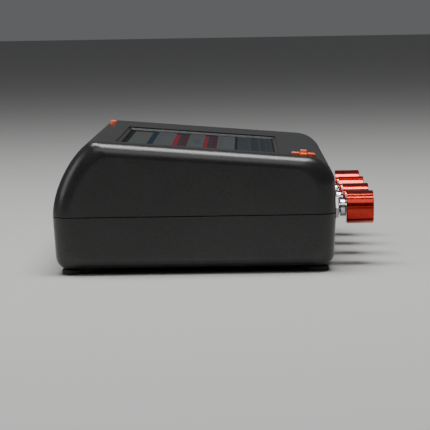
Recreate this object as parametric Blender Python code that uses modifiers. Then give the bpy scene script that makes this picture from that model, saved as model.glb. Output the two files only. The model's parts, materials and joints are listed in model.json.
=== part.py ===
"""Bench tuner console: a wedge-shaped case with a display, a cross pad and four knobs.

Metres, +Z up. The origin is under the middle of the whole object, on the surface it stands on.
+X points from the rear of the case to the knobs, and -Y is the side next to the cross pad.
"""
import bpy
import bmesh
from math import acos, ceil, cos, pi, radians, sin, sqrt, tan
from mathutils import Matrix, Vector

MM = 0.001
GAP = 0.3 * MM                  # clearance between pieces that touch or pass through each other

# Case: a profile in X and Z, lofted along Y
CASE_LENGTH = 112 * MM
CASE_WIDTH = 160 * MM
CASE_HEIGHT = 47.1 * MM         # underside of the case to its top, at mid length
FOOT_HEIGHT = 2.3 * MM
TOP_TILT = radians(4.8)         # the top falls towards the knobs
WALL = 2.2 * MM
SPLIT_HEIGHT = 20.7 * MM        # underside of the case to the parting line
REAR_RADIUS = 37 * MM
REAR_LEAN = radians(50)         # of the rear slope from upright
REAR_START = 0.4 * MM           # straight wall between the parting line and the rear curve
REAR_TOP_RADIUS = 5.5 * MM
FRONT_TOP_RADIUS = 11.5 * MM
BOTTOM_RADIUS = 5 * MM
LOWER_DRAFT = radians(3.2)
UPPER_DRAFT = radians(1.2)
PLAN_RADIUS = 8 * MM            # vertical edges, seen from above
EDGE_RADIUS = 5 * MM            # edges of the two side faces
ARC_STEP = radians(12)
PLAN_STEPS = 5
LIP_HEIGHT = 1.5 * MM
LIP_WALL = 0.95 * MM

# Knobs and encoders, in a row along Y on the front wall
KNOB_COUNT = 4
KNOB_PITCH = 34.25 * MM
KNOB_RADIUS = 6.65 * MM
KNOB_LENGTH = 10.95 * MM
KNOB_CHAMFER = 0.45 * MM
FLUTE_COUNT = 8
FLUTE_WIDTH = 1.2 * MM
FLUTE_DEPTH = 0.8 * MM
KNOB_TURNS = (2.5, 38.5, 15.5, 32.5)    # where each knob was left, degrees
COLLAR_RADIUS = 3.7 * MM
COLLAR_LENGTH = 2.2 * MM
NUT_FLATS = 8.2 * MM
NUT_LENGTH = 1.5 * MM
BUSHING_RADIUS = 3 * MM
SHAFT_RADIUS = 1.7 * MM
ENCODER_WIDTH = 12 * MM
ENCODER_DEPTH = 7 * MM
ENCODER_BEHIND_WALL = 2 * MM
KNOB_CROWN = 2.5 * MM           # solid end beyond the shaft
GRUB_RADIUS = 0.9 * MM
GRUB_FROM_BACK = 3.2 * MM

# Feet and case screws
FOOT_RADIUS = 4.6 * MM
FOOT_STEM_RADIUS = 1.8 * MM
FOOT_INSET_X = 7.8 * MM
FOOT_INSET_Y = 9 * MM
REAR_BOSS_INSET = 10 * MM
REAR_BOSS_Y = 60 * MM
FRONT_BOSS_INSET = 6.2 * MM
BOSS_RADIUS = 3.2 * MM
SCREW_RADIUS = 1.2 * MM
SCREW_HEAD_RADIUS = 2.3 * MM
SCREW_HEAD_LENGTH = 1.8 * MM
SCREW_HEAD_DEPTH = 1.2 * MM     # of the heads below the case's underside
SCREW_BITE = 12 * MM            # into the upper bosses

# Display, measured on the tilted top
APERTURE_LENGTH = 103.5 * MM
APERTURE_WIDTH = 65 * MM
APERTURE_FROM_SIDE = 12.25 * MM
APERTURE_X = 1.5 * MM
RIM_CHAMFER = 1.3 * MM
PANEL_BORDER_X = 6.7 * MM       # of the display module outside the window opening
PANEL_BORDER_Y = 5.9 * MM
GASKET_HEIGHT = 0.5 * MM
GASKET_WIDTH = 5 * MM
PANEL_HEIGHT = 1.6 * MM
BACKLIGHT_HEIGHT = 2.3 * MM
BOARD_HEIGHT = 1.6 * MM
POST_RADIUS = 2 * MM
POST_FROM_NEAR = 35 * MM
POST_FROM_FAR = 16 * MM
SMALL_SCREW_RADIUS = 0.7 * MM
SMALL_HEAD_RADIUS = 1.5 * MM
SMALL_HEAD_LENGTH = 1.2 * MM

# Cross pad with its centre button, on the tilted top
PAD_FROM_FRONT = 12.7 * MM
PAD_FROM_SIDE = 9.8 * MM
PAD_SPAN = 9.4 * MM
PAD_ARM = 2.8 * MM
PAD_RISE = 0.95 * MM
PAD_SINK = 0.35 * MM
POCKET_DEPTH = 0.9 * MM
POCKET_GAP = 0.55 * MM
HUB_RADIUS = 1.9 * MM
HUB_GAP = 0.7 * MM
PIVOT_DROP = 1.8 * MM           # pivot axes below the inside of the top wall
RING_THICKNESS = 1.2 * MM
RING_HEIGHT = 2 * MM
PIN_RADIUS = 0.4 * MM
CHEEK_WIDTH = 1 * MM
CHEEK_HALF = 1.6 * MM
NAV_BASE_WIDTH = 5 * MM
NAV_BASE_LENGTH = 11.6 * MM
NAV_BASE_HEIGHT = 0.7 * MM
BUTTON_WIDTH = 2.7 * MM
BUTTON_RISE = 1.05 * MM
BUTTON_TRAVEL = 0.5 * MM
PLUNGER_RADIUS = 0.8 * MM

# Power button, on the tilted top behind the display
POWER_FROM_REAR = 17.2 * MM
POWER_BEHIND_APERTURE = 13.25 * MM
POWER_RADIUS = 1.4 * MM
POWER_RISE = 1.5 * MM
POWER_FLANGE = 2.1 * MM
POWER_FLANGE_HEIGHT = 0.8 * MM
POWER_STEM = 1.4 * MM
POWER_WELL = 0.2 * MM           # depth of the flange's seat in the inside of the wall
TACT_WIDTH = 4 * MM
TACT_HEIGHT = 2 * MM

# Inside the lower shell
MAIN_BOARD_LENGTH = 122 * MM
MAIN_BOARD_WIDTH = 40 * MM
MAIN_BOARD_RAISE = 4 * MM
BOARD_POST_INSET = 4 * MM
BOARD_GAP = 2 * MM              # from a board's edge to the wall or board beside it
ENCODER_BOARD_HEIGHT = 18 * MM
ENCODER_BOARD_END = 10.5 * MM   # past the axis of the last knob
CHIP_SIZE = (12 * MM, 12 * MM, 1.4 * MM)
CELL_RADIUS = 9.2 * MM
CELL_LENGTH = 65.2 * MM
CELL_PITCH = 20 * MM
HOLDER_FROM_REAR = 30.8 * MM    # from the case's rear end to mid holder
HOLDER_FLOOR = 1.2 * MM
HOLDER_RIM = 1.5 * MM
HOLDER_END = 5 * MM
HOLDER_HEIGHT = 10 * MM
CONTACT_SPACE = 1 * MM          # for the contact plates at each end of a cell
PORT_SIZE = (8.9 * MM, 7.3 * MM, 3.2 * MM)
PORT_WALL = 0.35 * MM
PORT_OFFSET = 12 * MM           # from mid length
MIC_RADIUS = 3 * MM
MIC_LENGTH = 2.6 * MM
MIC_OFFSET = 28 * MM
MIC_HOLE_RADIUS = 0.6 * MM
RIBBON_WIDTH = 18 * MM
RIBBON_THICKNESS = 0.4 * MM
RIBBON_SWAY = 5 * MM
RIBBON_FROM_NEAR = 75 * MM

# Places that follow from the sizes above
NUT_OUT = GAP                   # starts of what stands out from the front wall
BUSHING_OUT = NUT_OUT + NUT_LENGTH + GAP
COLLAR_OUT = BUSHING_OUT + GAP
KNOB_OUT = COLLAR_OUT + COLLAR_LENGTH + GAP
CASE_X = -(KNOB_OUT + KNOB_LENGTH) / 2
BASE_Z = FOOT_HEIGHT
SPLIT_Z = BASE_Z + SPLIT_HEIGHT
TOP_Z = BASE_Z + CASE_HEIGHT
FLOOR_Z = BASE_Z + WALL
FRONT_X = CASE_X + CASE_LENGTH / 2
REAR_X = CASE_X - CASE_LENGTH / 2
NEAR_Y = -CASE_WIDTH / 2
FAR_Y = CASE_WIDTH / 2
KNOB_YS = [(i - (KNOB_COUNT - 1) / 2) * KNOB_PITCH for i in range(KNOB_COUNT)]

# Places on the deck, the tilted top: u along the slope from mid length, v along Y, w up from it
APERTURE_V = NEAR_Y + APERTURE_FROM_SIDE + APERTURE_LENGTH / 2
OPENING_WIDTH = APERTURE_WIDTH - 2 * RIM_CHAMFER
OPENING_LENGTH = APERTURE_LENGTH - 2 * RIM_CHAMFER
PANEL_WIDTH = OPENING_WIDTH + 2 * PANEL_BORDER_X
PANEL_LENGTH = OPENING_LENGTH + 2 * PANEL_BORDER_Y
GASKET_TOP = -WALL - GAP
PANEL_TOP = GASKET_TOP - GASKET_HEIGHT - GAP
BACKLIGHT_TOP = PANEL_TOP - PANEL_HEIGHT - GAP
DECK_BOARD_TOP = BACKLIGHT_TOP - BACKLIGHT_HEIGHT - 2 * GAP
PAD_U = (CASE_LENGTH / 2 - PAD_FROM_FRONT) / cos(TOP_TILT)
PAD_V = NEAR_Y + PAD_FROM_SIDE
PIVOT_W = -WALL - PIVOT_DROP
RING_INNER = HUB_RADIUS + 2 * GAP
RING_OUTER = RING_INNER + RING_THICKNESS
POWER_U = (POWER_FROM_REAR - CASE_LENGTH / 2) / cos(TOP_TILT)
POWER_V = APERTURE_V + APERTURE_LENGTH / 2 + POWER_BEHIND_APERTURE
POST_US = (APERTURE_X - PANEL_WIDTH / 2 - POST_RADIUS - 2 * GAP,
           APERTURE_X + PANEL_WIDTH / 2 + POST_RADIUS + 4 * GAP)
POST_VS = (APERTURE_V - PANEL_LENGTH / 2 + POST_FROM_NEAR,
           APERTURE_V + PANEL_LENGTH / 2 - POST_FROM_FAR)
MAIN_BOARD_Z = FLOOR_Z + MAIN_BOARD_RAISE
MAIN_BOARD_TOP = MAIN_BOARD_Z + BOARD_HEIGHT
ENCODER_FRONT = FRONT_X - WALL - ENCODER_BEHIND_WALL
ENCODER_BOARD_X = ENCODER_FRONT - ENCODER_DEPTH - GAP - BOARD_HEIGHT
MAIN_BOARD_X = ENCODER_BOARD_X - BOARD_GAP - MAIN_BOARD_WIDTH
MAIN_BOARD_Y = FAR_Y - WALL - BOARD_GAP - MAIN_BOARD_LENGTH


# ---------------------------------------------------------------- scene and materials

def clear_scene():
    for item in list(bpy.data.objects):
        bpy.data.objects.remove(item, do_unlink=True)


def collection(name):
    group = bpy.data.collections.new(name)
    bpy.context.scene.collection.children.link(group)
    return group


def material(name, colour, roughness, metallic=0.0):
    surface = bpy.data.materials.new(name)
    surface.use_nodes = True
    shader = surface.node_tree.nodes["Principled BSDF"]
    shader.inputs["Base Color"].default_value = (*colour, 1.0)
    shader.inputs["Roughness"].default_value = roughness
    shader.inputs["Metallic"].default_value = metallic
    return surface


clear_scene()
PARTS = collection("bench_tuner")
CUTTERS = collection("cutters")

GRAPHITE = material("graphite_shell", (0.06, 0.06, 0.062), 0.42, 0.5)
RED_ALUMINIUM = material("red_aluminium", (0.75, 0.03, 0.012), 0.25, 1.0)
CHROME = material("chrome", (0.8, 0.8, 0.82), 0.12, 1.0)
ORANGE = material("orange_plastic", (0.85, 0.13, 0.04), 0.35)
RUBBER = material("black_rubber", (0.02, 0.02, 0.02), 0.8)
WINDOW = material("window", (0.05, 0.06, 0.08), 0.05)
GASKET = material("gasket_foam", (0.015, 0.015, 0.015), 0.9)
PANEL = material("display_panel", (0.1, 0.13, 0.18), 0.2)
BOARD = material("circuit_board", (0.02, 0.2, 0.08), 0.5)
STEEL = material("steel", (0.55, 0.55, 0.56), 0.3, 1.0)
BLACK = material("black_plastic", (0.02, 0.02, 0.02), 0.5)
WHITE = material("white_plastic", (0.8, 0.8, 0.78), 0.5)
CELL_WRAP = material("cell_wrap", (0.1, 0.25, 0.5), 0.4)
COPPER_FILM = material("copper_film", (0.6, 0.35, 0.12), 0.4)


# ---------------------------------------------------------------- shapes

def block(low, high):
    """A box between two corners."""
    low, high = Vector(low), Vector(high)
    shape = bmesh.new()
    place = Matrix.Translation((low + high) / 2) @ Matrix.Diagonal((*(high - low), 1.0))
    bmesh.ops.create_cube(shape, size=1.0, matrix=place)
    return shape


def rod(radius, start, end, segments=16):
    """A cylinder from start to end."""
    start, end = Vector(start), Vector(end)
    axis = end - start
    turn = Vector((0, 0, 1)).rotation_difference(axis).to_matrix().to_4x4()
    shape = bmesh.new()
    bmesh.ops.create_cone(shape, cap_ends=True, segments=segments, radius1=radius,
                          radius2=radius, depth=axis.length, matrix=Matrix.Translation((start + end) / 2) @ turn)
    return shape


def frustum(low, high, spread):
    """A box whose top face is wider by spread on every side."""
    shape = block(low, high)
    middle = (Vector(low) + Vector(high)) / 2
    for vert in shape.verts:
        if vert.co.z > middle.z:
            vert.co.x += spread if vert.co.x > middle.x else -spread
            vert.co.y += spread if vert.co.y > middle.y else -spread
    return shape


def cross(arm, reach, low, high):
    """A cross of four arms, each of half width arm and ending at reach, between two heights."""
    quarter = [(arm, -reach), (arm, -arm), (reach, -arm)]
    shape = bmesh.new()
    corners = [Matrix.Rotation(pi / 2 * turn, 2) @ Vector(point) for turn in range(4) for point in quarter]
    face = shape.faces.new([shape.verts.new((*corner, low)) for corner in corners])
    made = bmesh.ops.extrude_face_region(shape, geom=[face], use_keep_orig=True)["geom"]
    bmesh.ops.translate(shape, vec=(0, 0, high - low),
                        verts=[item for item in made if isinstance(item, bmesh.types.BMVert)])
    return shape


def group(shapes):
    """Several separate shapes as one mesh."""
    whole = bmesh.new()
    for shape in shapes:
        mesh = bpy.data.meshes.new("scratch")
        shape.to_mesh(mesh)
        shape.free()
        whole.from_mesh(mesh)
        bpy.data.meshes.remove(mesh)
    return whole


def make(name, shape, surface, parent=None, where=PARTS):
    """An object from a shape, placed by its parent if it has one."""
    bmesh.ops.recalc_face_normals(shape, faces=shape.faces)
    mesh = bpy.data.meshes.new(name)
    shape.to_mesh(mesh)
    shape.free()
    thing = bpy.data.objects.new(name, mesh)
    where.objects.link(thing)
    mesh.materials.append(surface)
    thing.parent = parent
    return thing


def combine(target, shape, operation, parent=None):
    """Cut a shape from the target, add it, or keep what they share."""
    tool = make(f"{target.name}_tool_{len(target.modifiers)}", shape, BLACK, parent, CUTTERS)
    tool.hide_render = True
    tool.display_type = "WIRE"
    step = target.modifiers.new(operation.lower(), "BOOLEAN")
    step.operation = operation
    step.solver = "EXACT"
    step.object = tool


def cut(target, shape, parent=None):
    combine(target, shape, "DIFFERENCE", parent)


def add(target, shape, parent=None):
    combine(target, shape, "UNION", parent)


def bevel(thing, width, segments=2, angle=radians(35)):
    step = thing.modifiers.new("bevel", "BEVEL")
    step.width = width
    step.segments = segments
    step.limit_method = "ANGLE"
    step.angle_limit = angle


# ---------------------------------------------------------------- case profile

def deck_z(x):
    """Height of the untilted line of the top at x from mid length."""
    return TOP_Z - x * tan(TOP_TILT)


def case_corners():
    """Corners of the side profile, clockwise from the rear bottom: x, z and radius."""
    half = CASE_LENGTH / 2
    wall = Vector((sin(UPPER_DRAFT), cos(UPPER_DRAFT)))
    slope = Vector((sin(REAR_LEAN), cos(REAR_LEAN)))
    run = REAR_START + REAR_RADIUS * tan((REAR_LEAN - UPPER_DRAFT) / 2)
    rear_shoulder = Vector((-half, SPLIT_Z)) + wall * run
    reach = (deck_z(rear_shoulder.x) - rear_shoulder.y) / (slope.y + slope.x * tan(TOP_TILT))
    rear_top = rear_shoulder + slope * reach
    upper = TOP_Z - SPLIT_Z
    front_top_x = half - upper * tan(UPPER_DRAFT)
    draft = SPLIT_HEIGHT * tan(LOWER_DRAFT)
    return [(-half + draft, BASE_Z, BOTTOM_RADIUS), (-half, SPLIT_Z, 0.0),
            (*rear_shoulder, REAR_RADIUS), (*rear_top, REAR_TOP_RADIUS),
            (front_top_x, deck_z(front_top_x), FRONT_TOP_RADIUS), (half, SPLIT_Z, 0.0),
            (half - draft, BASE_Z, BOTTOM_RADIUS)]


def meeting_point(point_a, way_a, point_b, way_b):
    across = Vector((-way_b.y, way_b.x))
    return point_a + way_a * ((point_b - point_a).dot(across) / way_a.dot(across))


def case_outline(inset):
    """The side profile moved in by inset, as points."""
    corners = case_corners()
    count = len(corners)
    spots = [Vector(corner[:2]) for corner in corners]
    ways = [(spots[(i + 1) % count] - spots[i]).normalized() for i in range(count)]
    starts = [spots[i] + Vector((ways[i].y, -ways[i].x)) * inset for i in range(count)]
    points = []
    for i in range(count):
        way_in, way_out = ways[i - 1], ways[i]
        corner = meeting_point(starts[i - 1], way_in, starts[i], way_out)
        radius = corners[i][2]
        if radius == 0:
            points.append(corner)
            continue
        radius = max(radius - inset, 0.8 * MM)
        turn = acos(max(-1.0, min(1.0, way_in.dot(way_out))))
        centre = corner + (way_out - way_in).normalized() * (radius / cos(turn / 2))
        first = corner - way_in * radius * tan(turn / 2) - centre
        steps = max(2, ceil(turn / ARC_STEP))
        for k in range(steps + 1):
            swing = Matrix.Rotation(-turn * k / steps, 2)
            points.append(centre + swing @ first)
    return points


def trim(shape, height, normal):
    """Remove what lies beyond a level plane and close the opening."""
    everything = shape.verts[:] + shape.edges[:] + shape.faces[:]
    bmesh.ops.bisect_plane(shape, geom=everything, dist=1e-7, plane_co=(0, 0, height),
                           plane_no=normal, clear_outer=True)
    rim = [edge for edge in shape.edges if edge.is_boundary]
    bmesh.ops.edgenet_fill(shape, edges=rim)


def case_solid(inset, low=None, high=None):
    """The case's outer form moved in by inset, between the heights low and high."""
    outline = case_outline(inset)
    plan, edge = PLAN_RADIUS - inset, EDGE_RADIUS - inset
    half_width, half_length = CASE_WIDTH / 2 - inset, CASE_LENGTH / 2 - inset
    half_height = CASE_HEIGHT / 2 - inset
    stations = []
    for k in range(PLAN_STEPS + 1):
        swing = pi / 2 * k / PLAN_STEPS
        depth = plan * (1 - cos(swing))
        drop = edge - sqrt(edge ** 2 - max(edge - depth, 0.0) ** 2)
        wide = 1 - plan * (1 - sin(swing)) / half_length
        stations.append((half_width - depth, wide, 1 - drop / half_height))
    stations = [(-y, wide, tall) for y, wide, tall in stations] + stations[::-1]

    shape = bmesh.new()
    rings = [[shape.verts.new((p.x * wide, y, SPLIT_Z + (p.y - SPLIT_Z) * tall)) for p in outline]
             for y, wide, tall in stations]
    for ring, following in zip(rings, rings[1:]):
        for i in range(len(outline)):
            shape.faces.new((ring[i - 1], ring[i], following[i], following[i - 1]))
    shape.faces.new(rings[0])
    shape.faces.new(rings[-1])
    if low is not None:
        trim(shape, low, (0, 0, -1))
    if high is not None:
        trim(shape, high, (0, 0, 1))
    bmesh.ops.translate(shape, vec=(CASE_X, 0, 0), verts=shape.verts)
    return shape


# ---------------------------------------------------------------- frames that pieces are placed in

def frame_empty(name, place, turn=(0, 0, 0), parent=None):
    empty = bpy.data.objects.new(name, None)
    empty.location = place
    empty.rotation_euler = turn
    empty.parent = parent
    PARTS.objects.link(empty)
    return empty


DECK = frame_empty("deck_frame", (CASE_X, 0, TOP_Z), (0, TOP_TILT, 0))
NAV = frame_empty("nav_frame", (PAD_U, PAD_V, PIVOT_W), parent=DECK)
POWER = frame_empty("power_frame", (POWER_U, POWER_V, 0), parent=DECK)
KNOBS = [frame_empty(f"knob_frame_{i + 1}", (FRONT_X, y, SPLIT_Z), (-radians(turn), 0, 0))
         for i, (y, turn) in enumerate(zip(KNOB_YS, KNOB_TURNS))]

CASE_SCREW_SPOTS = ([(REAR_X + REAR_BOSS_INSET, side * REAR_BOSS_Y) for side in (-1, 1)]
                    + [(FRONT_X - FRONT_BOSS_INSET, side * KNOB_PITCH) for side in (-1, 1)])
FOOT_SPOTS = [(CASE_X + end * (CASE_LENGTH / 2 - FOOT_INSET_X), side * (CASE_WIDTH / 2 - FOOT_INSET_Y))
              for end in (-1, 1) for side in (-1, 1)]
POST_SPOTS = [(u, v) for u in POST_US for v in POST_VS]
BOARD_SCREW_SPOTS = [(MAIN_BOARD_X + BOARD_POST_INSET, MAIN_BOARD_Y + BOARD_POST_INSET),
                     (MAIN_BOARD_X + MAIN_BOARD_WIDTH - BOARD_POST_INSET,
                      MAIN_BOARD_Y + MAIN_BOARD_LENGTH - BOARD_POST_INSET)]


# ---------------------------------------------------------------- case

def case_core():
    """The space inside the case, less the bosses and posts that stand in it."""
    core = make("core", case_solid(WALL), BLACK, where=CUTTERS)
    core.hide_render = True
    core.display_type = "WIRE"
    cut(core, group([rod(BOSS_RADIUS, (x, y, 0), (x, y, TOP_Z + CASE_HEIGHT))
                     for x, y in CASE_SCREW_SPOTS]))
    cut(core, group([rod(POST_RADIUS, (x, y, 0), (x, y, MAIN_BOARD_Z - GAP), 16)
                     for x, y in BOARD_SCREW_SPOTS]))
    cut(core, group([rod(POST_RADIUS, (u, v, DECK_BOARD_TOP + GAP), (u, v, WALL), 16)
                     for u, v in POST_SPOTS]), DECK)
    return core


def hollow(shell, core):
    step = shell.modifiers.new("hollow", "BOOLEAN")
    step.solver = "EXACT"
    step.object = core


def bushing_holes(shell):
    cut(shell, group([rod(BUSHING_RADIUS + GAP, (FRONT_X - 3 * WALL, y, SPLIT_Z),
                          (FRONT_X + WALL, y, SPLIT_Z)) for y in KNOB_YS]))


def upper_shell(core):
    shell = make("upper_shell", case_solid(0, low=SPLIT_Z + GAP / 2), GRAPHITE)
    cut(shell, case_solid(LIP_WALL, BASE_Z + WALL, SPLIT_Z + LIP_HEIGHT + GAP))
    hollow(shell, core)
    half_w, half_l = APERTURE_WIDTH / 2, APERTURE_LENGTH / 2
    open_w, open_l = OPENING_WIDTH / 2, OPENING_LENGTH / 2
    cut(shell, block((APERTURE_X - open_w, APERTURE_V - open_l, -2 * WALL),
                     (APERTURE_X + open_w, APERTURE_V + open_l, WALL)), DECK)
    spread = 2 * RIM_CHAMFER
    cut(shell, frustum((APERTURE_X - open_w, APERTURE_V - open_l, -RIM_CHAMFER),
                       (APERTURE_X + open_w, APERTURE_V + open_l, RIM_CHAMFER), spread), DECK)
    surface = -PIVOT_W
    cut(shell, cross(PAD_ARM / 2 + POCKET_GAP, PAD_SPAN / 2 + POCKET_GAP, surface - POCKET_DEPTH,
                     surface + WALL), NAV)
    cut(shell, rod(HUB_RADIUS + HUB_GAP, (0, 0, 0), (0, 0, surface - POCKET_DEPTH / 2)), NAV)
    cut(shell, rod(POWER_RADIUS + GAP, (0, 0, -2 * WALL), (0, 0, 2 * WALL)), POWER)
    cut(shell, rod(POWER_FLANGE + GAP, (0, 0, DECK_BOARD_TOP), (0, 0, -WALL + POWER_WELL)), POWER)
    cut(shell, group([rod(SMALL_SCREW_RADIUS + GAP, (u, v, DECK_BOARD_TOP),
                          (u, v, -WALL - 2 * GAP), 12) for u, v in POST_SPOTS]), DECK)
    cut(shell, group([rod(SCREW_RADIUS + GAP, (x, y, SPLIT_Z - WALL),
                          (x, y, SPLIT_Z + SCREW_BITE + GAP), 16) for x, y in CASE_SCREW_SPOTS]))
    bushing_holes(shell)


def lower_shell(core):
    shell = make("lower_shell", case_solid(0, high=SPLIT_Z - GAP / 2), GRAPHITE)
    add(shell, case_solid(LIP_WALL + GAP, BASE_Z + WALL, SPLIT_Z + LIP_HEIGHT))
    hollow(shell, core)
    cut(shell, group([rod(FOOT_STEM_RADIUS + GAP, (x, y, 0), (x, y, BASE_Z + 2 * WALL))
                      for x, y in FOOT_SPOTS]))
    counterbore = BASE_Z + SCREW_HEAD_DEPTH + SCREW_HEAD_LENGTH + GAP
    cut(shell, group([rod(SCREW_RADIUS + GAP, (x, y, 0), (x, y, SPLIT_Z + CASE_HEIGHT), 16)
                      for x, y in CASE_SCREW_SPOTS]))
    cut(shell, group([rod(SCREW_HEAD_RADIUS + GAP, (x, y, 0), (x, y, counterbore), 20)
                      for x, y in CASE_SCREW_SPOTS]))
    cut(shell, group([rod(SMALL_SCREW_RADIUS + GAP, (x, y, FLOOR_Z), (x, y, MAIN_BOARD_Z), 12)
                      for x, y in BOARD_SCREW_SPOTS]))
    bushing_holes(shell)
    half_x, half_z = PORT_SIZE[0] / 2 + GAP, PORT_SIZE[2] / 2 + GAP
    port_x, port_z = CASE_X + PORT_OFFSET, MAIN_BOARD_TOP + GAP + PORT_SIZE[2] / 2
    cut(shell, block((port_x - half_x, FAR_Y - 2 * WALL, port_z - half_z),
                     (port_x + half_x, FAR_Y + WALL, port_z + half_z)))
    mic_x, mic_z = CASE_X + MIC_OFFSET, MAIN_BOARD_TOP + GAP + MIC_RADIUS
    cut(shell, rod(MIC_HOLE_RADIUS, (mic_x, FAR_Y - 2 * WALL, mic_z), (mic_x, FAR_Y + WALL, mic_z), 16))


def feet():
    for i, (x, y) in enumerate(FOOT_SPOTS):
        foot = make(f"foot_{i + 1}", rod(FOOT_RADIUS, (x, y, 0), (x, y, FOOT_HEIGHT - GAP), 24), RUBBER)
        bevel(foot, 0.4 * MM, 1)
        add(foot, rod(FOOT_STEM_RADIUS, (x, y, FOOT_HEIGHT / 2), (x, y, BASE_Z + WALL + GAP), 16))


def screw(name, radius, head_radius, head_length, tip, head, parent=None):
    """A screw that points up, from the underside of its head to its tip above it."""
    x, y, seat = head
    piece = make(name, rod(head_radius, (x, y, seat - head_length), (x, y, seat), 16), STEEL, parent)
    add(piece, rod(radius, (x, y, seat - head_length / 2), (x, y, tip), 12), parent)
    cut(piece, rod(head_radius / 2, (x, y, seat - 2 * head_length), (x, y, seat - head_length / 2), 6),
        parent)


def case_screws():
    seat = BASE_Z + SCREW_HEAD_DEPTH + SCREW_HEAD_LENGTH
    for i, (x, y) in enumerate(CASE_SCREW_SPOTS):
        screw(f"case_screw_{i + 1}", SCREW_RADIUS, SCREW_HEAD_RADIUS, SCREW_HEAD_LENGTH,
              SPLIT_Z + SCREW_BITE, (x, y, seat))


# ---------------------------------------------------------------- display

def deck_plate(name, surface, width, length, top, height):
    """A plate under the display opening and centred on it."""
    return make(name, block((APERTURE_X - width / 2, APERTURE_V - length / 2, top - height),
                            (APERTURE_X + width / 2, APERTURE_V + length / 2, top)), surface, DECK)


def display():
    deck_plate("display_window", WINDOW, OPENING_WIDTH - 2 * GAP, OPENING_LENGTH - 2 * GAP,
               -RIM_CHAMFER, WALL - RIM_CHAMFER)
    gasket = deck_plate("display_gasket", GASKET, PANEL_WIDTH, PANEL_LENGTH, GASKET_TOP, GASKET_HEIGHT)
    hole_w, hole_l = PANEL_WIDTH / 2 - GASKET_WIDTH - 3 * GAP, PANEL_LENGTH / 2 - GASKET_WIDTH - 3 * GAP
    cut(gasket, block((APERTURE_X - hole_w, APERTURE_V - hole_l, PANEL_TOP),
                      (APERTURE_X + hole_w, APERTURE_V + hole_l, 0)), DECK)
    deck_plate("display_panel", PANEL, PANEL_WIDTH, PANEL_LENGTH, PANEL_TOP, PANEL_HEIGHT)
    backlight = deck_plate("backlight_tray", WHITE, PANEL_WIDTH, PANEL_LENGTH, BACKLIGHT_TOP,
                           BACKLIGHT_HEIGHT)
    bevel(backlight, 0.5 * MM, 1)


def display_board():
    """The board under the display, which also carries both switches."""
    low_u = POWER_U - TACT_WIDTH / 2 - 2 * GAP
    high_u = PAD_U + NAV_BASE_WIDTH / 2
    low_v = PAD_V - NAV_BASE_LENGTH / 2
    high_v = POWER_V + TACT_WIDTH / 2 + BOARD_GAP
    board = make("display_board", block((low_u, low_v, DECK_BOARD_TOP - BOARD_HEIGHT),
                                        (high_u, high_v, DECK_BOARD_TOP)), BOARD, DECK)
    cut(board, group([rod(SMALL_SCREW_RADIUS + GAP, (u, v, DECK_BOARD_TOP - 2 * BOARD_HEIGHT),
                          (u, v, 0), 12) for u, v in POST_SPOTS]), DECK)
    for i, (u, v) in enumerate(POST_SPOTS):
        screw(f"display_screw_{i + 1}", SMALL_SCREW_RADIUS, SMALL_HEAD_RADIUS, SMALL_HEAD_LENGTH,
              -WALL - 3 * GAP, (u, v, DECK_BOARD_TOP - BOARD_HEIGHT - GAP), DECK)


# ---------------------------------------------------------------- cross pad and power button

def nav_switch():
    """The base that holds the cross pad's gimbal between two cheeks."""
    bottom = DECK_BOARD_TOP + GAP - PIVOT_W
    half_u, half_v = NAV_BASE_WIDTH / 2, NAV_BASE_LENGTH / 2
    inner = RING_OUTER + 2 * GAP
    base = make("nav_switch", block((-half_u, -half_v, bottom), (half_u, half_v, bottom + NAV_BASE_HEIGHT)),
                BLACK, NAV)
    add(base, group([block((-CHEEK_HALF, side * inner if side > 0 else -inner - CHEEK_WIDTH, bottom),
                           (CHEEK_HALF, inner + CHEEK_WIDTH if side > 0 else -inner, RING_HEIGHT / 2 + GAP))
                     for side in (-1, 1)]), NAV)
    cut(base, rod(PIN_RADIUS + GAP, (0, -half_v - WALL, 0), (0, half_v + WALL, 0), 12), NAV)


def nav_gimbal():
    half = RING_HEIGHT / 2
    ring = make("nav_gimbal", rod(RING_OUTER, (0, 0, -half), (0, 0, half), 24), STEEL, NAV)
    tip = RING_OUTER + 2 * GAP + CHEEK_WIDTH
    add(ring, group([rod(PIN_RADIUS, (0, side * (RING_OUTER - RING_THICKNESS / 2), 0), (0, side * tip, 0), 12)
                     for side in (-1, 1)]), NAV)
    cut(ring, rod(RING_INNER, (0, 0, -RING_HEIGHT), (0, 0, RING_HEIGHT), 24), NAV)
    cut(ring, rod(PIN_RADIUS + GAP, (-2 * RING_OUTER, 0, 0), (2 * RING_OUTER, 0, 0), 12), NAV)


def nav_pad():
    surface = -PIVOT_W
    low, high = surface - PAD_SINK, surface + PAD_RISE
    pad = make("nav_pad", cross(PAD_ARM / 2, PAD_SPAN / 2, low, high), ORANGE, NAV)
    bevel(pad, 0.25 * MM, 1)
    add(pad, rod(HUB_RADIUS, (0, 0, -RING_HEIGHT / 2 - 2 * GAP), (0, 0, surface)), NAV)
    add(pad, group([rod(PIN_RADIUS, (side * HUB_RADIUS * 0.75, 0, 0),
                        (side * (RING_OUTER - GAP), 0, 0), 12) for side in (-1, 1)]), NAV)
    cut(pad, rod(PLUNGER_RADIUS + GAP, (0, 0, -RING_HEIGHT), (0, 0, 2 * surface), 16), NAV)
    half = BUTTON_WIDTH / 2 + GAP
    cut(pad, block((-half, -half, high - BUTTON_TRAVEL - GAP), (half, half, 2 * high)), NAV)


def nav_button():
    top = -PIVOT_W + PAD_RISE + BUTTON_RISE
    half = BUTTON_WIDTH / 2
    button = make("nav_button", block((-half, -half, -PIVOT_W + PAD_RISE - GAP), (half, half, top)),
                  ORANGE, NAV)
    bevel(button, 0.3 * MM, 1)
    add(button, rod(PLUNGER_RADIUS, (0, 0, -RING_HEIGHT / 2 - 4 * GAP), (0, 0, top - BUTTON_RISE), 16), NAV)


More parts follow.
